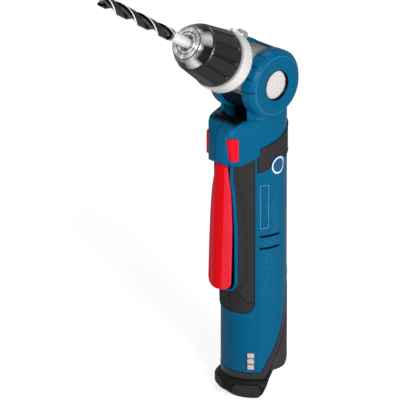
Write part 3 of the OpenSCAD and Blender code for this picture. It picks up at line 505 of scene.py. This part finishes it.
def moulded(name, colour, worn, rough, grain=2200.0, depth=0.01 * mm, wear=0.5, specular=0.22,
            seam_marks_and_painted_light=False, stem=None, framed=None, front=None):
    """Moulded plastic or rubber."""
    groove_depth = 6.0
    m, tree, skin, where = start_finish(name, 0.0, specular)
    fine = effect(tree, grain_group, where, Grain_Size=grain)
    edge = effect(tree, wear_group, where, Amount=wear)
    used = effect(tree, handling_group, where)
    body = mix_colour(tree, across_noise(tree, fine["Drift"], 0.0, 1.0), darker(colour, 0.93), colour)
    body = mix_colour(tree, edge["Mask"], body, worn)
    height = fine["Height"]
    # The housing's joint line and stop lines, with painted shade in the fork and a painted highlight on the disc
    # rims
    if seam_marks_and_painted_light:
        place = split(tree, where)
        line = fade_out(tree, absolute(tree, place[0]), 0.12 * mm, 0.3 * mm)
        stops = stop_lines(tree, *place)
        body = mix_colour(tree, times(tree, line, 0.7), body, darker(colour, 0.15))
        # Painted shade, near black, in the trough under the head, on the ledge in front of it and in the button's
        # recess
        body = mix_colour(tree, fork_painted_shade(tree, *place), body, linear(10, 12, 14))
        body = mix_colour(tree, stops, body, darker(colour, 0.12))
        # Painted highlight, in the worn colour, along each disc's rim
        body = mix_colour(tree, times(tree, disc_rim_highlight(tree, *place), 0.4), body, worn)
        for groove in (line, stops):
            height = less(tree, height, times(tree, groove, groove_depth))
    # Painted shade: the trigger's front facet a deeper red than its sides
    if front:
        body = mix_colour(tree, front_facet_shade(tree, where), body, front)
    # The stem behind the bar is painted the housing's blue, darkened as painted shade
    if stem:
        body = mix_colour(tree, behind_the_bar(tree, where), body, stem)
    if framed:
        body = mix_colour(tree, times(tree, label_frame(tree, where), 0.55), body, framed)
    tree.links.new(body, skin.inputs["Base Color"])
    gloss = plus(tree, across_noise(tree, fine["Drift"], rough - 0.05, rough + 0.06),
                 times(tree, used["Smear"], -0.07))
    gloss = plus(tree, gloss, times(tree, used["Scratch"], 0.08), True)
    tree.links.new(gloss, skin.inputs["Roughness"])
    raise_up(tree, skin, height, depth)
    return m


def metal(name, colour, rough, pitch=1600.0, depth=0.002 * mm, metallic=1.0, flutes=None, cone=None,
          reflection_fan=0.0, grooves=(), shaded=None):
    """Turned or ground metal."""
    dark = linear(16, 16, 17)
    m, tree, skin, where = start_finish(name, metallic)
    lathe = effect(tree, turning_group, where, Pitch=pitch)
    used = effect(tree, handling_group, where)
    edge = effect(tree, wear_group, where, Amount=0.3)
    radius, along = lathe["Radius"], lathe["Along"]
    body = mix_colour(tree, fade_in(tree, lathe["Rings"], 0.35, 0.3), darker(colour, 0.92), colour)
    if flutes:
        # The shank and the margins are ground bright; the flutes are painted dark as shade, with a mid-grey land and
        # a painted highlight along the core
        shade, land, core_highlight = flutes
        margin_r, land_r, core_r = 4.48 * mm, 4.30 * mm, 1.9 * mm
        deep = fade_out(tree, radius, margin_r, 0.14 * mm)
        inside = times(tree, deep, fade_in(tree, along, flute_l - 1 * mm, 3 * mm))
        flute = mix_colour(tree, fade_in(tree, radius, land_r, 0.12 * mm), shade, land)
        flute = mix_colour(tree, fade_out(tree, radius, core_r, 0.9 * mm), flute, core_highlight)
        body = mix_colour(tree, inside, body, flute)
        tree.links.new(ramp(tree, inside, 0.0, 1.0, metallic, 1.0), skin.inputs["Metallic"])
    if cone:
        # Painted reflections on the polished cone: four bright bands round it and dark between them
        face_r, bright, between = cone
        bands, first_band = 4.0, math.radians(35)
        reflection_band = sums(tree, "COSINE", times(tree, less(tree, lathe["Angle"], first_band), bands))
        outer = mix_colour(tree, fade_in(tree, reflection_band, -0.1, 1.05), between, bright)
        body = mix_colour(tree, fade_in(tree, radius, face_r + 0.3 * mm, 2.3 * mm), body, outer)
        body = mix_colour(tree, fade_out(tree, radius, face_r - 0.6 * mm, 0.6 * mm), body, bright)
    # Painted reflection: dark fans that turn round the chuck's axis
    if reflection_fan:
        body = mix_colour(tree, times(tree, fade_out(tree, lathe["Fan"], 0.38, 0.22), reflection_fan), body, dark)
    # Painted shade in the face's fine grooves and along its edge
    for middle in grooves:
        line = ramp(tree, apart(tree, radius, middle), 0.15 * mm, 0.5 * mm, 0.9, 0.0)
        body = mix_colour(tree, line, body, dark)
    if shaded:
        start, length, shade = shaded
        body = mix_colour(tree, fade_out(tree, along, start, length), body, shade)
    body = mix_colour(tree, edge["Mask"], body, (0.9, 0.9, 0.9, 1.0))
    tree.links.new(body, skin.inputs["Base Color"])
    gloss = plus(tree, across_noise(tree, lathe["Rings"], rough - 0.04, rough + 0.06),
                 times(tree, used["Smear"], 0.06), True)
    tree.links.new(gloss, skin.inputs["Roughness"])
    raise_up(tree, skin, lathe["Rings"], depth)
    return m


def dotted(name, colour, dot):
    """Button face with a close grid of fine raised points."""
    spacing, slant = 1.9 * mm, 0.7071
    m, tree, skin, where = start_finish(name)
    fine = effect(tree, grain_group, where, Grain_Size=1800.0)
    used = effect(tree, handling_group, where)
    _, y, z = split(tree, where)
    pitch = 2 * math.pi / spacing * slant
    a = sums(tree, "SINE", times(tree, plus(tree, y, z), pitch))
    b = sums(tree, "SINE", times(tree, less(tree, y, z), pitch))
    point = fade_in(tree, times(tree, a, b), 0.15, 0.6)
    tree.links.new(mix_colour(tree, times(tree, point, 0.55), colour, dot), skin.inputs["Base Color"])
    gloss = plus(tree, across_noise(tree, fine["Drift"], 0.42, 0.55), times(tree, used["Smear"], -0.06), True)
    tree.links.new(gloss, skin.inputs["Roughness"])
    raise_up(tree, skin, plus(tree, point, times(tree, fine["Height"], 0.1)), 0.2 * mm)
    return m


def ringed(name, rim, face):
    """Bare round badge place: a pale rim round a plain face."""
    middle_y, middle_z, ring_r = 1.6 * mm, 181.6 * mm, 5.15 * mm
    m, tree, skin, where = start_finish(name, 0.0, 0.3)
    fine = effect(tree, grain_group, where, Grain_Size=2600.0)
    _, y, z = split(tree, where)
    far = reach(tree, less(tree, y, middle_y), less(tree, z, middle_z))
    edge = fade_in(tree, far, ring_r, 0.3 * mm)
    tree.links.new(mix_colour(tree, edge, face, rim), skin.inputs["Base Color"])
    tree.links.new(across_noise(tree, fine["Drift"], 0.28, 0.38), skin.inputs["Roughness"])
    raise_up(tree, skin, plus(tree, edge, times(tree, fine["Height"], 0.04)), 0.2 * mm)
    return m


def charge_window(name, frame_shade, lens_shade, lit_shade):
    """Dark frame round a clear lens with three rounded lights, one above the other."""
    turn, middle, lens_half, light_half = math.radians(51), 0.3 * mm, 2.45 * mm, 2.7 * mm
    low, light_step, half_step = 23.6 * mm, 13.6 * mm / 3, 0.43
    squareness = 4.0
    m, tree, skin, where = start_finish(name)
    fine = effect(tree, grain_group, where, Grain_Size=900.0)
    x, y, z = split(tree, where)
    # Across the window, level and along the handle's round
    across = plus(tree, times(tree, x, math.sin(turn)), times(tree, y, math.cos(turn)))
    across = apart(tree, across, middle)
    lens = fade_out(tree, across, lens_half, 0.4 * mm)
    step = sums(tree, "DIVIDE", less(tree, z, low), light_step)
    high = apart(tree, sums(tree, "FRACT", step), 0.5)
    wide = sums(tree, "POWER", sums(tree, "DIVIDE", across, light_half), squareness)
    high = sums(tree, "POWER", sums(tree, "DIVIDE", high, half_step), squareness)
    lit = fade_out(tree, plus(tree, wide, high), 0.35, 0.65)
    lit = times(tree, lit, ramp(tree, fine["Height"], 0.25, 0.6, 0.75, 1.0))
    shade = mix_colour(tree, lens, frame_shade, lens_shade)
    tree.links.new(mix_colour(tree, lit, shade, lit_shade), skin.inputs["Base Color"])
    tree.links.new(across_noise(tree, fine["Drift"], 0.12, 0.2), skin.inputs["Roughness"])
    raise_up(tree, skin, lit, 0.2 * mm)
    return m


pale_blue = linear(50, 130, 165)
blue = linear(0, 84, 120)
worn_red = linear(236, 80, 94)
housing_blue = moulded("housing_blue", blue, pale_blue, 0.34, specular=0.07, seam_marks_and_painted_light=True)
head_blue = moulded("head_blue", blue, pale_blue, 0.34, specular=0.07)
shield_navy = moulded("shield_navy", linear(2, 26, 40), linear(20, 60, 90), 0.42, specular=0.08)
label_blue = moulded("label_blue", linear(0, 76, 110), pale_blue, 0.26, grain=3600.0, depth=0.005 * mm,
                     specular=0.1, framed=linear(84, 150, 184))
# The trigger's sides are a lighter, pinkish red as painted light, and its front facet a deep red as painted shade
trigger_red = moulded("trigger_red", linear(226, 40, 58), worn_red, 0.34, depth=0.008 * mm, specular=0.05,
                      stem=linear(4, 46, 70), front=linear(218, 4, 14))
selector_red = moulded("selector_red", linear(214, 14, 30), worn_red, 0.34, depth=0.008 * mm, specular=0.05)
rubber_grey = moulded("rubber_grey", linear(44, 42, 42), linear(76, 73, 72), 0.60, grain=1100.0,
                      depth=0.03 * mm, wear=0.3, specular=0.1)
rubber_trim = moulded("rubber_trim", linear(44, 43, 44), linear(70, 68, 67), 0.50, grain=1400.0,
                      depth=0.02 * mm, wear=0.3, specular=0.12)
trim_gloss = moulded("trim_gloss", linear(40, 39, 42), linear(90, 92, 98), 0.30, grain=1400.0,
                     depth=0.008 * mm, wear=0.6, specular=0.4)
pack_grey = moulded("pack_grey", linear(54, 51, 52), linear(84, 81, 81), 0.52, grain=1500.0,
                    depth=0.02 * mm, wear=0.3, specular=0.12)
pack_black = moulded("pack_black", linear(24, 24, 24), linear(70, 69, 69), 0.45, grain=1700.0,
                     depth=0.02 * mm, specular=0.1)
sleeve_black = moulded("sleeve_black", linear(10, 10, 10), linear(120, 120, 120), 0.36, grain=2600.0,
                       depth=0.008 * mm, specular=0.6)
inner_black = moulded("inner_black", linear(18, 18, 19), linear(60, 60, 60), 0.50, specular=0.12)
# Joint lines, darkened as painted shadow in their gaps
seam_shadow_dark = moulded("seam_shadow_dark", linear(4, 16, 24), linear(20, 40, 52), 0.5, specular=0.1)
badge_face = ringed("badge_face", linear(214, 220, 226), linear(0, 78, 116))
window_clear = charge_window("window_clear", linear(6, 34, 48), linear(104, 90, 88), linear(184, 182, 181))
light_pale = moulded("light_pale", linear(205, 208, 205), linear(235, 235, 235), 0.22, depth=0.005 * mm, wear=0.1)
cell_green = moulded("cell_green", linear(40, 120, 80), linear(120, 170, 140), 0.40)
button_white = dotted("button_white", linear(206, 201, 199), linear(150, 148, 154))
collar_silver = metal("collar_silver", linear(228, 227, 225), 0.40, pitch=1200.0, depth=0.006 * mm, metallic=0.35,
                      shaded=(22 * mm, 8 * mm, linear(112, 110, 108)))
lug_silver = metal("lug_silver", linear(196, 195, 193), 0.34, pitch=1200.0, depth=0.004 * mm, metallic=0.8)
# Chrome with painted reflections: bright bands and dark fans on the cone, and painted shade in the face's grooves
chrome = metal("chrome", linear(196, 197, 200), 0.16, pitch=1400.0, metallic=0.5,
               cone=(12.1 * mm, linear(246, 247, 250), linear(14, 14, 15)),
               reflection_fan=0.5, grooves=(5.9 * mm, 8.4 * mm, 12.3 * mm))
# The flutes are painted dark as shade, with a painted highlight streak along the core
bit_steel = metal("bit_steel", linear(242, 243, 245), 0.22, pitch=1200.0, metallic=0.3,
                  flutes=(linear(20, 20, 21), linear(78, 78, 80), linear(120, 120, 122)))
tool_steel = metal("tool_steel", linear(150, 152, 156), 0.28)
dark_steel = metal("dark_steel", linear(92, 94, 98), 0.34)
contact_brass = metal("contact_brass", linear(205, 170, 90), 0.26)


# Chuck, bit and head

def chuck_sleeve():
    """Sleeve with flat grip pads and a narrow groove between each two of them."""
    rows = [(15.1, 43.75), (20.5, 43.75), (21.25, 44.1), (21.6, 44.9), (21.6, 47.2), (21.5, 48.2), (21.45, 49.4),
            (20.7, 54.5), (20.0, 60.0), (19.2, 66.0), (18.75, 69.4), (18.55, 70.6), (18.1, 72.0), (17.3, 73.1),
            (16.6, 73.4), (15.1, 73.4)]
    sides, pads = 144, 12
    grip_low, grip_high, grip_r = 48.0 * mm, 71.0 * mm, 17.9 * mm
    groove_share, flat_share = 0.945, 0.72
    obj = turned("chuck_sleeve_grip", rows, sides)
    per = sides // pads
    pad = math.radians(360 / pads)
    flat_half = pad / 2 * flat_share

    def column(co):
        a = math.atan2(co.y, co.x) % pad
        return round(a / pad * per) % per

    def on_grip(co):
        return grip_low < co.z < grip_high and math.hypot(co.x, co.y) > grip_r

    for k in range(per):
        if k in (0, 1):
            factor = groove_share
        elif k in (2, per - 1):
            factor = 1.0
        else:
            away = abs(k / per * pad - pad / 2 - pad / per / 2)
            factor = math.cos(flat_half) / math.cos(min(away, flat_half))
        pick_verts(obj, lambda v: on_grip(v.co) and column(v.co) == k)
        scale_about_axis(factor)
    bpy.ops.object.mode_set(mode="OBJECT")
    smooth(obj, 24)
    return stands_for(on_chuck_axis(obj), "chuck_sleeve", sleeve_black)


def chuck_nose():
    """Polished cone with fine rings round the bit."""
    rows = [(5.2, 73.0), (15.0, 73.0), (16.7, 73.75), (17.0, 74.0), (17.0, 74.5), (16.6, 74.75), (16.55, 75.0),
            (16.75, 75.2), (16.4, 76.4), (14.7, 79.4), (13.1, 82.0), (12.7, 82.6), (12.2, 83.0), (11.7, 83.15),
            (9.1, 83.15), (8.8, 83.0), (8.65, 82.5), (8.1, 82.5), (7.95, 83.0), (7.7, 83.25), (6.6, 83.25),
            (6.35, 83.05), (6.2, 82.5), (5.65, 82.5), (5.5, 82.9), (5.3, 82.9), (5.2, 82.6), (5.2, 73.0)]
    obj = turned("chuck_nose_ring", rows)
    smooth(obj, 40)
    return stands_for(on_chuck_axis(obj), "chuck_nose", chrome)


def head_lug():
    """Screw boss behind the rim of the silver collar."""
    rows = [(0.01, 27.6), (3.3, 27.6), (3.9, 28.2), (3.9, 34.0), (3.5, 34.5), (2.3, 34.5), (2.1, 34.2),
            (2.0, 33.2), (0.01, 33.2)]
    from_axis = 23.0 * mm
    obj = turned("head_lug", rows, 40)
    obj.location = (0, from_axis, 0)
    apply_place(obj)
    smooth(obj, 40)
    return settle(on_chuck_axis(obj), "gear_head", lug_silver)


def drill_bit():
    """Twist bit: a section with two flutes, wound up the axis, on a plain shank."""
    sides, turns_cut = 72, 120
    margin_end, land_end = 14, 86
    land, flute_depth, flute_round = 0.94, 0.6, 0.7
    point_l, point_share, tip_end = 1.5 * mm, 0.3, 0.65 * mm
    run_out, run_share = 1.2 * mm, 0.25
    tip_room, near = 2.2 * mm, 0.01 * mm
    nothing_selected()
    bpy.ops.mesh.primitive_circle_add(vertices=sides, radius=bit_r, fill_type="NOTHING", location=(0, 0, 0))
    obj = bpy.context.object
    obj.name = "drill_bit_twist"

    def share(co):
        """Part of the full radius at a point: margin, land or flute."""
        t = math.degrees(math.atan2(co.y, co.x)) % 180
        if t < margin_end:
            return 1.0
        if t < land_end:
            return land
        way = math.radians((t - land_end) / (180 - land_end) * 180)
        return round(land - flute_depth * math.sin(way) ** flute_round, 4)

    wanted = {v.index: share(v.co) for v in obj.data.vertices}
    for value in sorted(set(wanted.values()) - {1.0}):
        pick_verts(obj, lambda v: wanted[v.index] == value)
        scale_about_axis(value)
    bpy.ops.object.mode_set(mode="OBJECT")
    length = tip_l - tip_room - flute_l
    use_modifier(obj, "SCREW", angle=math.radians(flute_turn), screw_offset=length, steps=turns_cut,
                 render_steps=turns_cut, axis="Z", use_normal_calculate=True)
    # Ground point and rounded run out at the two ends
    pick_verts(obj, lambda v: v.co.z > length - near)
    grow_by(0, 0, point_l)
    scale_about_axis(point_share, length + point_l)
    grow_by(0, 0, tip_end)
    bpy.ops.mesh.merge(type="CENTER")
    pick_verts(obj, lambda v: v.co.z < near)
    grow_by(0, 0, -run_out)
    scale_about_axis(run_share, -run_out)
    bpy.ops.mesh.merge(type="CENTER")
    bpy.ops.object.mode_set(mode="OBJECT")
    obj.location = (0, 0, flute_l)
    apply_place(obj)
    shank = turned("drill_bit_shank", [(0, 57.3), (3.6, 57.3), (4.0, 57.7), (4.0, 101.4), (4.3, 102.4),
                                       (3.2, 104.6), (0, 105.5)], 48)
    take(obj)
    shank.select_set(True)
    bpy.ops.object.join()
    close_up(obj)
    smooth(obj, 50)
    return stands_for(on_chuck_axis(obj), "drill_bit", bit_steel)


def lock_button():
    rows = [(0, 17.9), (3.4, 17.9), (3.4, 19.4), (10.2, 19.4), (10.8, 19.7), (10.8, 20.9), (10.6, 21.4),
            (10.1, 21.7), (8.8, 21.8), (0, 21.8)]
    obj = turned("lock_button_cap", rows)
    smooth(obj, 40)
    return stands_for(on_pivot_axis(obj), "lock_button", button_white)


# Handle

def stop_marks():
    """Raised blocks round a disc's chamfer; the gaps between them mark the stops."""
    blocks, block_turn, gap_half = 4, 20.6, 0.95
    lift, sink = 0.35 * math.sqrt(0.5), 0.1
    low_r, low_x = cheek_r / mm - 0.9, (cheek_out - cheek_ch) / mm + 0.9
    high_r, high_x = (cheek_r - cheek_ch) / mm + 0.5, cheek_out / mm - 0.5
    path = [(low_r - sink, low_x - sink), (low_r + lift, low_x + lift), (high_r + lift, high_x + lift),
            (high_r - sink, high_x - sink), (low_r - sink, low_x - sink)]
    for side in ("right", "left"):
        for k in range(blocks):
            obj = turned("stop_mark_%s_%d" % (side, k), path, 14, block_turn)
            for _ in range(2):
                edit(obj, "EDGE")
                bpy.ops.mesh.select_non_manifold()
                bpy.ops.mesh.edge_face_add()
            close_up(obj)
            round_edges(obj, 0.12 * mm, 2, 30)
            # The first block starts at the front, and the others climb from it
            obj.rotation_euler = (0, 0, math.radians(270 - stop_step * (k + 1) + gap_half))
            apply_place(obj)
            on_pivot_axis(obj)
            if side == "left":
                obj.scale = (-1, 1, 1)
                apply_place(obj)
                close_up(obj)
            smooth(obj, 40)
            settle(obj, side + "_housing", head_blue)


def rim_side(grow):
    """One side of the trigger's outline, from the nose to its foot, in millimetres and grown by a clearance."""
    steps = [(6.5, 188.4), (6.5, 174), (7.1, 172), (7.5, 170), (7.9, 168), (8.4, 165), (9.0, 160), (9.5, 155),
             (9.9, 150), (10.3, 145), (10.6, 140), (10.9, 130), (11.0, 96.3)]
    corner_x, corner_z, corner_r, drop = 4.5, 96.3, 6.5, 6.8
    corner = []
    for t in range(10, 91, 10):
        a = math.radians(t)
        corner.append((corner_x + (corner_r + grow) * math.cos(a), corner_z - (drop + grow) * math.sin(a)))
    return [(x + grow, z) for x, z in steps] + corner


def trigger_rim(name, grow, width, front, back, finish):
    """Raised border round the trigger, open at the top where it runs into the nose."""
    outer, inner = rim_side(grow + width), rim_side(grow)
    outline = outer + [(-x, z) for x, z in reversed(outer)] + [(-x, z) for x, z in inner] + inner[::-1]
    obj = wire(name, [(x * mm, front, z * mm) for x, z in outline])
    bpy.ops.mesh.edge_face_add()
    grow_by(0, back - front, 0)
    close_up(obj)
    round_edges(obj, 0.5 * mm, 3, 40)
    # The border ends inside the housing's wall
    bpy.ops.mesh.primitive_cylinder_add(vertices=96, radius=wall_r, depth=0.2, location=(0, 0, 0.14))
    room = bpy.context.object
    use_modifier(obj, "BOOLEAN", operation="DIFFERENCE", object=room)
    take(room)
    bpy.ops.object.delete()
    smooth(obj, 40)
    return settle(obj, "right_housing", finish)


def seam_line(node, width, finish):
    """Dark line round the face of a piece that is let into the handle: its joint, darkened as painted shadow of the
    gap.
    """
    facing_out = 0.75
    obj = merged_copy(node, "_seam", True)
    mesh = obj.data
    # An edge counts once for each skin face beside it, so the rim counts once
    beside = {}
    for f in mesh.polygons:
        out = Vector((f.center.x, f.center.y, 0)).normalized()
        if f.normal.dot(out) > facing_out:
            for key in f.edge_keys:
                beside[key] = beside.get(key, 0) + 1
    edit(obj, "EDGE")
    bpy.ops.object.mode_set(mode="OBJECT")
    for e in mesh.edges:
        e.select = beside.get(tuple(sorted(e.vertices)), 0) != 1
    bpy.ops.object.mode_set(mode="EDIT")
    bpy.ops.mesh.delete(type="EDGE")
    bpy.ops.mesh.select_all(action="SELECT")
    bpy.ops.mesh.delete(type="ONLY_FACE")
    take(obj)
    bpy.ops.object.convert(target="CURVE")
    line = bpy.context.object
    line.data.bevel_depth = width / 2
    line.data.bevel_resolution = 1
    bpy.ops.object.convert(target="MESH")
    line = bpy.context.object
    close_up(line)
    smooth(line, 60)
    return settle(line, node, finish)


chuck_sleeve()
chuck_nose()
head_lug()
drill_bit()
lock_button()

# Softened solids
pads = ("left_pad", "right_pad", "left_rear_pad", "right_rear_pad")
softened("left_housing", 0, housing_blue)
softened("right_housing", 0, housing_blue)
softened("trigger", 0.8 * mm, trigger_red, 3)
softened("selector", 0.6 * mm, selector_red, 3)
softened("gear_head", 0, collar_silver)
softened("head_shield", 0, shield_navy)
for piece in pads:
    softened(piece, 0.35 * mm, rubber_grey)
softened("lower_trim", 0.6 * mm, trim_gloss, 3)
softened("battery_shell", 0, pack_grey)
softened("battery_foot", 0, pack_black)
softened("latch_left", 0.5 * mm, rubber_trim)
softened("latch_right", 0.5 * mm, rubber_trim)
softened("label_plate", 0, label_blue)
softened("badge_plate", 0, badge_face)
softened("indicator_window", 0, window_clear)
softened("pivot_cap", 0.5 * mm, inner_black)

# Borders, and joint lines darkened as painted shadow of their gaps
trigger_rim("trigger_rim", 0.7, 1.7, -32.2 * mm, -29.2 * mm, housing_blue)
trigger_rim("trigger_rim_pad", 0.75, 2.6, -29.4 * mm, -20.8 * mm, rubber_grey)
for piece in ("lower_trim",) + pads:
    seam_line(piece, 0.5 * mm, seam_shadow_dark)
stop_marks()

# Solids kept as they are
kept = [
    (light_pale, ["indicator_lights"]),
    (cell_green, ["battery_cells"]),
    (trigger_red, ["switch_plunger"]),
    (collar_silver, ["gearbox_cover"]),
    (dark_steel, ["housing_screws", "head_screw", "chuck_body", "chuck_screw"]),
    (inner_black, ["switch_box", "reverse_switch", "terminal_block", "motor_end", "motor_fan", "ring_gear"]),
    (contact_brass, ["terminal_blades", "sun_gear", "drive_bushing", "spindle_cage", "battery_contacts"]),
    (tool_steel, ["trigger_pin", "trigger_spring", "motor_can", "motor_shaft", "planet_1", "planet_2", "planet_3",
                  "carrier", "bevel_pinion", "idler_gear", "idler_axle", "lock_spring", "spindle_bearing", "spindle",
                  "spindle_gear", "jaw_1", "jaw_2", "jaw_3"]),
]
for finish, names in kept:
    for name in names:
        nodes[name].data.materials.clear()
        nodes[name].data.materials.append(finish)


# Studio

def studio_floor():
    """White floor: bright where it is seen, dimmer where it is mirrored, grey where it only gives light back."""
    floor_grey, bounce_grey = 0.36, 0.85
    glow_seen, glow_mirrored = 0.78, 0.15
    nothing_selected()
    bpy.ops.mesh.primitive_plane_add(size=8)
    floor = bpy.context.object
    floor.name = "studio_floor"
    m = bpy.data.materials.new("floor_white")
    m.use_nodes = True
    tree = m.node_tree
    tree.nodes.clear()
    out = add(tree, "ShaderNodeOutputMaterial")
    seen = add(tree, "ShaderNodeLightPath").outputs
    direct = larger(tree, seen["Is Camera Ray"], larger(tree, seen["Is Glossy Ray"], seen["Is Transmission Ray"]))
    matt = add(tree, "ShaderNodeBsdfDiffuse")
    matt.inputs["Color"].default_value = (floor_grey, floor_grey, floor_grey, 1)
    glow = add(tree, "ShaderNodeEmission")
    glow.inputs["Color"].default_value = (1, 1, 1, 1)
    strength = ramp(tree, seen["Is Glossy Ray"], 0.0, 1.0, glow_seen, glow_mirrored)
    tree.links.new(strength, glow.inputs["Strength"])
    lit = add(tree, "ShaderNodeAddShader")
    tree.links.new(matt.outputs[0], lit.inputs[0])
    tree.links.new(glow.outputs[0], lit.inputs[1])
    plain = add(tree, "ShaderNodeBsdfDiffuse")
    plain.inputs["Color"].default_value = (bounce_grey, bounce_grey, bounce_grey, 1)
    pick = add(tree, "ShaderNodeMixShader")
    tree.links.new(direct, pick.inputs[0])
    tree.links.new(plain.outputs[0], pick.inputs[1])
    tree.links.new(lit.outputs[0], pick.inputs[2])
    tree.links.new(pick.outputs[0], out.inputs["Surface"])
    floor.data.materials.append(m)


def studio_world():
    """White surroundings: full where they are seen, weak as a light and in mirrors."""
    light_strength, mirrored_share = 0.2, 0.25
    w = bpy.data.worlds.new("studio_world")
    scene.world = w
    w.use_nodes = True
    tree = w.node_tree
    tree.nodes.clear()
    out = add(tree, "ShaderNodeOutputWorld")
    back = add(tree, "ShaderNodeBackground")
    back.inputs["Color"].default_value = (1, 1, 1, 1)
    seen = add(tree, "ShaderNodeLightPath").outputs
    mirrored = times(tree, seen["Is Glossy Ray"], mirrored_share)
    direct = larger(tree, seen["Is Camera Ray"], larger(tree, mirrored, seen["Is Transmission Ray"]))
    tree.links.new(ramp(tree, direct, 0.0, 1.0, light_strength, 1.0), back.inputs["Strength"])
    tree.links.new(back.outputs[0], out.inputs["Surface"])


def lamp(name, place, aim, watts, size):
    data = bpy.data.lights.new(name, "AREA")
    data.energy = watts
    data.shape = "DISK"
    data.size = size
    obj = bpy.data.objects.new(name, data)
    scene.collection.objects.link(obj)
    obj.location = place
    obj.rotation_euler = (Vector(aim) - Vector(place)).to_track_quat("-Z", "Y").to_euler()


def studio_camera():
    """The photo's view, from so far away that it is nearly parallel."""
    aim = Vector((0, -0.0551, 0.1639))
    back = Vector((0.6528, -0.6528, 0.3843)).normalized()
    distance, seen_width, sensor = 10.0, 0.2886, 36
    data = bpy.data.cameras.new("photo_camera")
    data.sensor_width = sensor
    data.lens = sensor * distance / seen_width
    data.clip_start = 0.1
    data.clip_end = 40
    cam = bpy.data.objects.new("photo_camera", data)
    scene.collection.objects.link(cam)
    cam.location = aim + back * distance
    cam.rotation_euler = (-back).to_track_quat("-Z", "Y").to_euler()
    scene.camera = cam


studio_floor()
studio_world()
lamp("key_lamp", (1.5, -0.72, 0.9), (0, -0.03, 0.15), 37, 0.6)
lamp("fill_lamp", (-0.7, -1.4, 0.6), (0, -0.03, 0.15), 1.5, 0.9)
lamp("top_lamp", (-0.3, 0.5, 1.6), (0, 0, 0.2), 8, 0.8)
studio_camera()
scene.view_settings.view_transform = "Standard"
